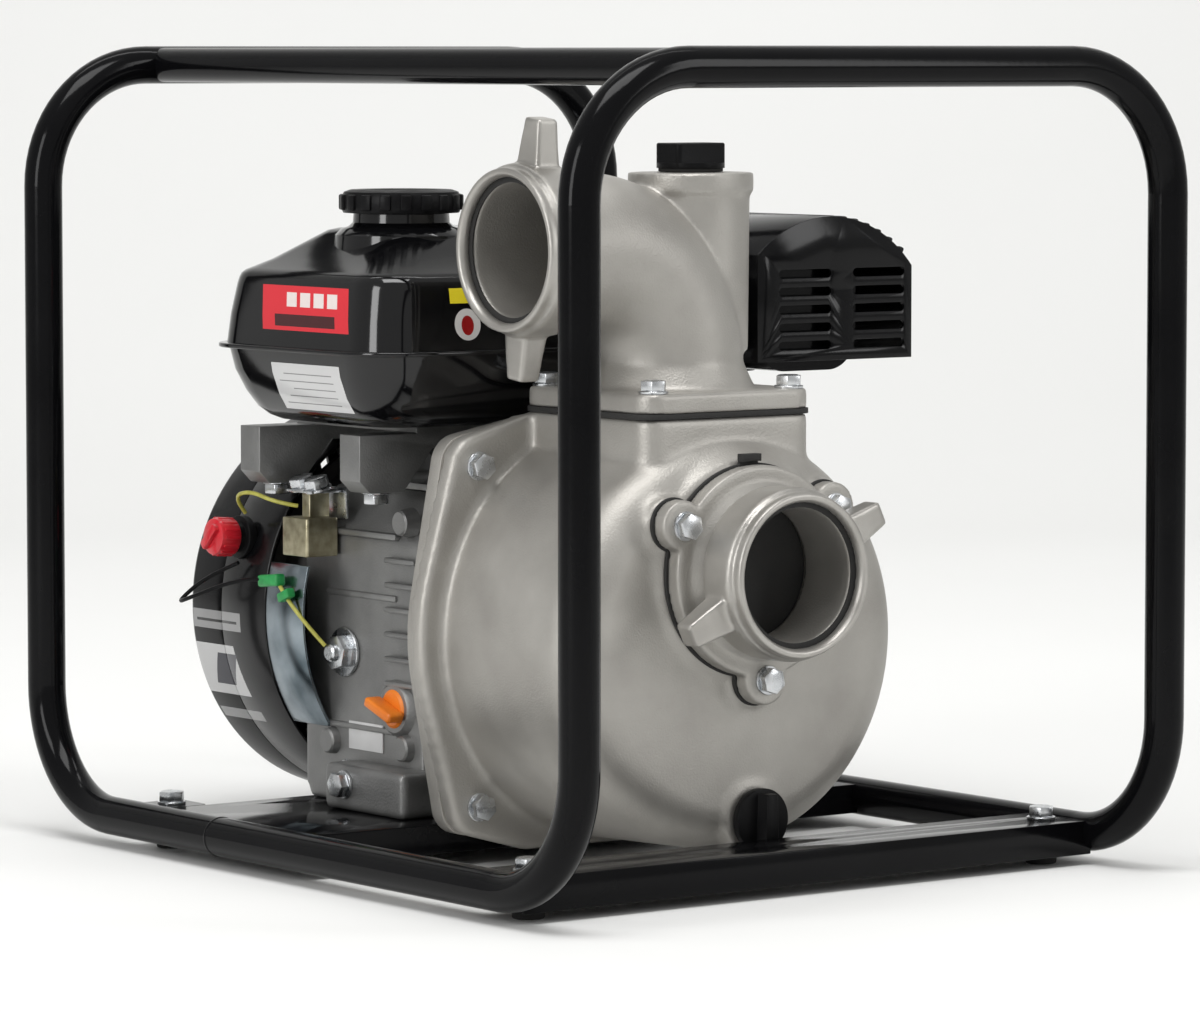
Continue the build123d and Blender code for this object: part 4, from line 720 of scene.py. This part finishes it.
for number in range(5):
    line_end = 0.099 - 0.006 * (number % 3)
    line_z = 0.2570 + line_pitch * number
    panels.append((ink, 0.045, line_end, line_z, line_z + line_width, 0.0, paper_x))
finish(
    "tank_black", (0.002, 0.002, 0.0025), (0.004, 0.004, 0.0045),
    rough=0.10, patch_scale=9.0, grain_scale=160.0, bump=0.02, spread=0.04, shine=0.5,
    fields=panels,
    front=(
        (yellow, -0.090, 0.3195, 0.0085, 0.0042, 0.0, front_y),
        (disc_white, -0.088, 0.3035, 0.0088, 0.0088, 1.0, front_y),
        (disc_red, -0.088, 0.3030, 0.0042, 0.0055, 1.0, front_y),
    ),
)
tank_piece = publish(tank, "fuel_tank_pressing", "unit", "tank_black", ("fuel_tank",), 30.0)

# %% [markdown]
# The filler cap is a black moulding with a ribbed skirt and a shallow dished top.

# %% Fuel cap
cap_height = cap_high.z - cap_low.z
skirt_r = (cap_high.x - cap_low.x) / 2 - 0.0016
cap = lathe(
    [
        (0.0, cap_height - 0.0015), (0.018, cap_height - 0.0018), (0.024, cap_height),
        (skirt_r - 0.005, cap_height), (skirt_r - 0.0015, cap_height - 0.0012), (skirt_r, cap_height - 0.004),
        (skirt_r, 0.0022),
        (skirt_r - 0.001, 0.0), (0.0292, 0.0), (0.0292, 0.0036), (0.0, 0.0036),
    ],
    96,
)
cap_grips = 18
for spot, out in around((0, 0, cap_height / 2 - 0.0005), skirt_r - 0.0004, cap_grips):
    grip = block((0.0036, 0.0066, cap_height - 0.0042), 0.0010)
    cap = gather(cap, stand(grip, spot, (0, 0, 1), out))
stand(cap, (cap_axis.x, cap_axis.y, cap_low.z))
publish(cap, "filler_cap_moulding", node_body["fuel_cap"], "black_plastic", ("fuel_cap",), 40.0)

# %% [markdown]
# ## Engine
# The crankcase is a die casting with ribs towards the pump. The shroud and the recoil cover are black
# pressings, with plain fields where the real ones carry printed panels.

# %% Engine castings
crankcase_voxel = 0.0022
sand_cast(
    cad_copy("crankcase"), "crankcase_casting", "unit", "engine_aluminium", crankcase_voxel, 3, ("crankcase",)
)
for node, edge, own_finish in (
    ("crankcase_cover", 0.0015, None),
    ("tank_brackets", 0.0020, None),
    ("oil_alert_unit", 0.0008, None),
    ("side_plate", 0.0003, "blue_zinc"),
    ("stop_switch", 0.0008, "black_plastic"),
    ("muffler_guard", 0.0009, None),
    ("air_cleaner_cover", 0.0010, None),
    ("air_cleaner_base", 0.0015, None),
    ("starter_grip", 0.0010, None),
    ("front_crossmember", 0.0009, None),
    ("engine_crossmember", 0.0009, None),
    ("rubber_feet", 0.0008, None),
):
    softened(node, edge, own_finish)

# %% [markdown]
# The shroud's rim carries two grey strips and a pale panel with a dark figure, all as plain fields.

# %% Shroud with its plain printed fields
grey, pale, line_grey, figure = (0.30, 0.30, 0.30), (0.55, 0.55, 0.55), (0.04, 0.04, 0.04), (0.07, 0.07, 0.08)
shroud_x = -0.06
finish(
    "shroud_black", (0.002, 0.002, 0.0025), (0.004, 0.004, 0.0045),
    rough=0.20, patch_scale=14.0, grain_scale=200.0, bump=0.04, shine=0.4,
    fields=(
        (grey, 0.186, 0.236, 0.1180, 0.1290, 0.0, shroud_x),
        (line_grey, 0.190, 0.232, 0.1222, 0.1238, 0.0, shroud_x),
        (pale, 0.192, 0.236, 0.0790, 0.1090, -0.15, shroud_x),
        (figure, 0.204, 0.224, 0.0850, 0.1040, 0.5, shroud_x),
        (grey, 0.190, 0.234, 0.0640, 0.0700, 0.0, shroud_x),
    ),
)
shroud_piece = softened("fan_shroud", 0.0012, "shroud_black")
recoil_piece = softened("recoil_cover", 0.0010, "shroud_black")

# %% [markdown]
# The crankcase's left wall has short ribs towards the pump, three long ribs, three bosses, and a collar
# round the dipstick.

# %% Ribs and bosses on the crankcase
wall_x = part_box("crankcase")[0].x
to_left, rearwards = (-1, 0, 0), (0, 1, 0)
ribs = bmesh.new()
for height in (0.098, 0.112, 0.126, 0.140, 0.154, 0.168):
    short_rib = block((0.008, 0.030, 0.0030), 0.0010)
    ribs = gather(ribs, stand(short_rib, (wall_x - 0.0005, 0.0480, height)))
for height in (0.070, 0.146, 0.181):
    long_rib = block((0.006, 0.070, 0.0036), 0.0012)
    ribs = gather(ribs, stand(long_rib, (wall_x + 0.0012, 0.090, height)))
for y, z in ((0.046, 0.062), (0.046, 0.190), (0.120, 0.060)):
    boss = lathe([(0.0, 0.0055), (0.0062, 0.0055), (0.0072, 0.0045), (0.0085, -0.004), (0.0, -0.004)], 32)
    ribs = gather(ribs, stand(boss, (wall_x, y, z), to_left, rearwards))
collar = lathe([(0.0, 0.004), (0.0135, 0.004), (0.0148, 0.003), (0.018, -0.003), (0.0, -0.003)], 40)
ribs = gather(ribs, stand(collar, (wall_x, 0.054, 0.084), to_left, rearwards))
publish(ribs, "crankcase_ribs", "unit", "engine_aluminium")

# %% [markdown]
# The oil sensor's lead comes out through a large zinc nut on a plain washer.

# %% Sensor nut
sensor = gather(
    hexagon(0.0105, 0.007, 0.0045, 0.0008),
    lathe(
        [(0.0, 0.0), (0.0140, 0.0), (0.0142, 0.0004), (0.0142, 0.0014), (0.0138, 0.0018), (0.0, 0.0018)], 40
    ),
    lathe([(0.0, 0.012), (0.004, 0.012), (0.0052, 0.011), (0.0052, 0.006), (0.0, 0.006)], 24),
)
stand(sensor, (wall_x - 0.0005, 0.107, 0.112), to_left, (0, 1, 0.3))
publish(sensor, "sensor_nut", "unit", "zinc_steel")

# %% [markdown]
# The oil alert unit hangs from a bent strip with two bolts.

# %% Alert bracket
alert_low, alert_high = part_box("oil_alert_unit")
upright = stand(
    block((0.0016, 0.030, 0.018), 0.0004), (alert_low.x + 0.026, alert_low.y + 0.012, alert_high.z - 0.006)
)
shelf = stand(
    block((0.020, 0.026, 0.0016), 0.0004), (alert_low.x + 0.014, alert_low.y + 0.014, alert_high.z + 0.001)
)
bracket = gather(upright, shelf)
for y in (0.006, 0.021):
    seat = (alert_low.x + 0.012, alert_low.y + y, alert_high.z + 0.002)
    bracket = gather(bracket, hex_bolt(seat, (-0.3, 0, 1)))
publish(bracket, "alert_bracket", "unit", "zinc_steel")

# %% [markdown]
# The engine stands on a cast foot, bolted from the side. A blank white panel is stuck above it.

# %% Foot and panel
foot_block = stand(block((0.030, 0.078, 0.026), 0.003), (wall_x - 0.006, 0.060, 0.038))
sand_cast(foot_block, "foot_casting", "unit", "engine_aluminium", 0.0013, 3)
foot_bolt = hex_bolt((wall_x - 0.0212, 0.078, 0.040), to_left)
publish(foot_bolt, "foot_bolt", "unit", "zinc_steel")
case_panel = stand(block((0.0010, 0.034, 0.016), 0.0003), (wall_x - 0.0005, 0.086, 0.0650))
finish(
    "printed_white", (0.55, 0.55, 0.55), (0.62, 0.62, 0.62),
    rough=0.4, patch_scale=60.0, grain_scale=300.0, bump=0.02,
)
publish(case_panel, "case_panel", "unit", "printed_white")

# %% [markdown]
# One bolt hangs under each of the tank's brackets.

# %% Bolts under the tank brackets
bracket_low, bracket_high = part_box("tank_brackets")
hangers = bmesh.new()
for y in (bracket_low.y + 0.010, bracket_high.y - 0.011):
    hangers = gather(hangers, hex_bolt((bracket_low.x + 0.018, y, bracket_low.z + 0.0015), (0, 0, -1)))
publish(hangers, "bracket_bolts", "unit", "zinc_steel")

# %% [markdown]
# The starter rope comes out of the recoil case and runs to the grip. It is a round cord of forty evenly spaced
#  rings over the CAD rope's length, and it rides no body.

# %% Starter rope
rope_low, rope_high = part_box("starter_rope")
rope_start = Vector((rope_low.x, (rope_low.y + rope_high.y) / 2, (rope_low.z + rope_high.z) / 2))
rope_end = Vector((rope_high.x, rope_start.y, rope_start.z))
rope_r = (rope_high.z - rope_low.z) / 2
rope_rings = 40
rope_length = rope_end.x - rope_start.x
rope_skin = [(rope_r, rope_length * step / rope_rings) for step in range(rope_rings + 1)]
rope = lathe([(0.0, 0.0), *rope_skin, (0.0, rope_length)], 16)
stand(rope, rope_start, (1, 0, 0), rearwards)
rope_piece = publish(rope, "pull_rope", None, "rope", ("starter_rope",))
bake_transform(rope_piece)

# %% [markdown]
# The stop knob is a turned red moulding with a finger grip. The dipstick has two orange wings on a round
# head.

# %% Knob and dipstick
switch = joints["stop_switch_turn"]
knob = lathe(
    [
        (0.0, 0.0095), (0.0105, 0.0095), (0.0112, 0.0105), (0.0112, 0.0200), (0.0104, 0.0222),
        (0.0085, 0.0232), (0.0, 0.0234),
    ],
    48,
)
knob = gather(knob, stand(block((0.0175, 0.0058, 0.0055), 0.0012), (0, 0, 0.0236), (0, 0, 1), (1, 1, 0)))
knob_grips = 14
for spot, out in around((0, 0, 0.0155), 0.0111, knob_grips):
    knob = gather(knob, stand(block((0.0008, 0.0018, 0.010), 0.0003), spot, (0, 0, 1), out))
knob = gather(knob, lathe([(0.0, 0.0025), (0.00295, 0.0025), (0.00295, 0.0100), (0.0, 0.0100)], 20))
stand(knob, switch["pos_m"], switch["axis"], rearwards)
publish(knob, "stop_knob_moulding", node_body["stop_switch_knob"], "red_plastic", ("stop_switch_knob",))

dip_low, dip_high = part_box("oil_dipstick")
dip = lathe(
    [
        (0.0, 0.0055), (0.0095, 0.0055), (0.0110, 0.0042), (0.0110, 0.0002), (0.0079, 0.0), (0.0079, -0.0088),
        (0.0, -0.0088),
    ],
    40,
)
wing_narrowing, wing_thinning, wing_half_span = 0.45, 0.15, 0.0133
wings = block((0.0265, 0.0095, 0.0125), 0.0022, 3)
for vert in wings.verts:
    outwards = abs(vert.co.x) / wing_half_span
    vert.co.y *= 1.0 - wing_narrowing * outwards
    vert.co.z *= 1.0 - wing_thinning * outwards
bmesh.ops.translate(wings, vec=(0, 0, 0.0105), verts=wings.verts)
dip = gather(dip, wings)
dip_centre = ((dip_low.y + dip_high.y) / 2, (dip_low.z + dip_high.z) / 2)
stand(dip, (wall_x, *dip_centre), to_left, (0, 1, 0.35))
publish(dip, "dipstick_moulding", node_body["oil_dipstick"], "orange_plastic", ("oil_dipstick",))

# %% [markdown]
# ## Leads
# The stop switch, the alert unit and the oil sensor are joined by thin leads with one spare loop. Each lead
# is one smooth curve with a round bevel.

# %% Leads
diameter = 0.0024


def lead(name, points, finish_name):
    """A thin lead on one NURBS line, made a mesh."""
    curve = bpy.data.curves.new(name, "CURVE")
    curve.dimensions = "3D"
    line = curve.splines.new("NURBS")
    line.points.add(len(points) - 1)
    for point, place_at in zip(line.points, points):
        point.co = (*place_at, 1.0)
    line.order_u = 3
    line.use_endpoint_u = True
    line.resolution_u = 16
    pattern = bpy.data.objects.new(name + "_line", curve)
    bpy.context.scene.collection.objects.link(pattern)
    centre_line = bpy.data.meshes.new_from_object(pattern)
    path = [tuple(vert.co) for vert in centre_line.vertices]
    length = sum((Vector(b) - Vector(a)).length for a, b in zip(path, path[1:]))
    curve.bevel_depth = diameter / 2
    curve.bevel_resolution = 3
    curve.use_fill_caps = True
    bpy.context.view_layer.update()
    tube = bmesh.new()
    tube_mesh = bpy.data.meshes.new_from_object(pattern)
    tube.from_mesh(tube_mesh)
    bmesh.ops.remove_doubles(tube, verts=tube.verts, dist=1e-6)
    bpy.data.objects.remove(pattern)
    piece = publish(tube, name, "unit", finish_name, smooth=60.0)
    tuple(path[0])
    return piece


lead(
    "switch_lead",
    [
        (-0.113, 0.184, 0.188), (-0.124, 0.180, 0.198), (-0.127, 0.158, 0.203), (-0.121, 0.140, 0.197),
        (-0.111, 0.132, 0.195),
    ],
    "wire_sheath",
)
loop_lead = lead(
    "loop_lead",
    [
        (-0.118, 0.184, 0.159), (-0.126, 0.206, 0.150), (-0.136, 0.222, 0.134), (-0.140, 0.204, 0.138),
        (-0.126, 0.168, 0.152), (-0.119, 0.146, 0.152),
    ],
    "black_plastic",
)
lead("sensor_lead", [(-0.119, 0.140, 0.150), (-0.121, 0.126, 0.138), (-0.108, 0.109, 0.116)], "wire_sheath")
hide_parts("wiring")

# %% [markdown]
# The loop and the sensor lead meet in a pair of green connectors.

# %% Connectors
large_shell = stand(block((0.007, 0.020, 0.007), 0.0016, 3), (-0.1195, 0.147, 0.1515), (0, 0.1, 1))
small_shell = stand(block((0.0055, 0.012, 0.0055), 0.0012), (-0.1195, 0.132, 0.1440), (0, 0.4, 1))
joiner = gather(large_shell, small_shell)
joiner_piece = publish(joiner, "lead_connectors", "unit", "green_sheath")

# %% [markdown]
# ## Muffler guard
# The guard's top is pressed with cross ribs, which stiffen it and let air through.

# %% Ribs on the guard
guard_low, guard_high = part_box("muffler_guard")
guard_middle = (guard_low + guard_high) / 2
guard_half = (guard_high.x - guard_low.x) / 2
rib_count, rib_margin = 13, 0.006
rib_pitch = (2 * guard_half - 2 * rib_margin) / (rib_count - 1)
crown_drop, crown_lean = 0.0235, 0.4
guard_ribs = bmesh.new()
for number in range(rib_count):
    x = guard_low.x + rib_margin + number * rib_pitch
    off_middle = (x - guard_middle.x) / guard_half
    top = guard_high.z - 0.0012 - crown_drop * off_middle * off_middle
    rib = block((0.0042, guard_high.y - guard_low.y - 0.004, 0.0034), 0.0012)
    guard_ribs = gather(guard_ribs, stand(rib, (x, guard_middle.y, top), (crown_lean * off_middle, 0, 1)))
publish(guard_ribs, "guard_ribs", "unit", "black_paint")

# %% [markdown]
# ## Frame details
# Where the rear half of the tube loop slides over the front half, the joint shows as a thin ring on each
# rail.

# %% Rail joints
front_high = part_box("front_frame_hoop")[1]
tube_r = 0.011
rail_x = front_high.x - tube_r
joint_y, rail_z = 0.076, 0.017
joint_rings = bmesh.new()
for side in (-1, 1):
    ring = lathe([(0.01095, -0.0012), (0.01135, -0.0006), (0.01135, 0.0006), (0.01095, 0.0012)], 48)
    joint_rings = gather(joint_rings, stand(ring, (side * rail_x, joint_y, rail_z), (0, 1, 0)))
publish(joint_rings, "rail_joint_rings", "unit", "frame_black")

# %% [markdown]
# ## Stage, light and camera
# A pale floor that sweeps up behind the pump, one broad light above, one at the left and a weaker one at
# the right give long soft highlights on the tubes.

# %% Floor
def swept_stage(width, front, back, rise, radius):
    """A floor that turns up into a back wall, square to the camera's heading."""
    bm = bmesh.new()
    steps = 24
    section = [(front, 0.0)]
    for step in range(steps + 1):
        angle = step * math.pi / 2 / steps
        section.append((back + radius * math.sin(angle), radius * (1.0 - math.cos(angle))))
    section.append((back + radius, rise))
    line = [bm.verts.new((-width / 2, depth, height)) for depth, height in section]
    edges = [bm.edges.new(pair) for pair in zip(line, line[1:])]
    made = bmesh.ops.extrude_edge_only(bm, edges=edges)["geom"]
    far_side = [element for element in made if isinstance(element, bmesh.types.BMVert)]
    bmesh.ops.translate(bm, vec=(width, 0, 0), verts=far_side)
    bmesh.ops.rotate(bm, cent=(0, 0, 0), matrix=Matrix.Rotation(camera_heading, 3, "Z"), verts=bm.verts)
    bmesh.ops.recalc_face_normals(bm, faces=bm.faces)
    if sum(face.normal.z for face in bm.faces) < 0:
        bmesh.ops.reverse_faces(bm, faces=bm.faces)
    return bm


camera_heading = math.radians(-36.65)
floor_bm = swept_stage(14.0, -6.0, 2.2, 5.0, 1.6)
floor_mesh = bpy.data.meshes.new("studio_floor")
floor_bm.to_mesh(floor_mesh)
floor_bm.free()
floor_mesh.shade_smooth()
floor = bpy.data.objects.new("studio_floor", floor_mesh)
bpy.context.scene.collection.objects.link(floor)
floor_mesh.materials.append(
    finish(
        "studio_floor", (0.80, 0.80, 0.79), (0.82, 0.82, 0.81),
        rough=0.7, patch_scale=1.2, grain_scale=60.0, bump=0.0, shine=0.2,
    )
)
print("floor", floor_mesh.name)

# %% [markdown]
# The lights are large and soft. A fourth one lifts the back wall, and the dim, even sky fills the shadows.

# %% Lights
def soft_light(name, place_at, target, size, power):
    """An oblong area light aimed at a point."""
    lamp = bpy.data.lights.new(name, "AREA")
    lamp.shape = "RECTANGLE"
    lamp.size, lamp.size_y = size
    lamp.energy = power
    light = bpy.data.objects.new(name, lamp)
    light.location = place_at
    light.rotation_euler = (Vector(target) - Vector(place_at)).to_track_quat("-Z", "Y").to_euler()
    bpy.context.scene.collection.objects.link(light)
    print(name, power, "W")


soft_light("top_softbox", (-0.5, -0.6, 2.4), (0, 0, 0.2), (1.6, 1.0), 40.0)
soft_light("left_softbox", (-2.6, -0.4, 1.1), (0, 0, 0.25), (0.7, 1.6), 26.0)
soft_light("right_softbox", (1.6, -2.4, 1.3), (0, 0, 0.25), (0.6, 1.6), 16.0)
soft_light("backdrop_light", (0.5, 0.7, 2.8), (2.2, 3.0, 1.2), (2.4, 1.0), 46.0)
world = bpy.data.worlds.new("studio")
world.use_nodes = True
world.node_tree.nodes["Background"].inputs["Color"].default_value = (0.95, 0.95, 0.94, 1.0)
world.node_tree.nodes["Background"].inputs["Strength"].default_value = 0.50
bpy.context.scene.world = world
bpy.context.scene.view_settings.view_transform = "Standard"

# %% [markdown]
# The camera stands far off to the front left with a long lens, level with the top of the frame.

# %% Camera
camera_data = bpy.data.cameras.new("camera")
camera_data.lens = 176.9
camera_data.sensor_width = 36.0
camera_data.clip_end = 50.0
camera = bpy.data.objects.new("camera", camera_data)
camera.location = (-1.985, -2.677, 0.455)
camera.rotation_euler = (math.radians(85.59), 0.0, camera_heading)
bpy.context.scene.collection.objects.link(camera)
bpy.context.scene.camera = camera
print("camera", tuple(camera.location))
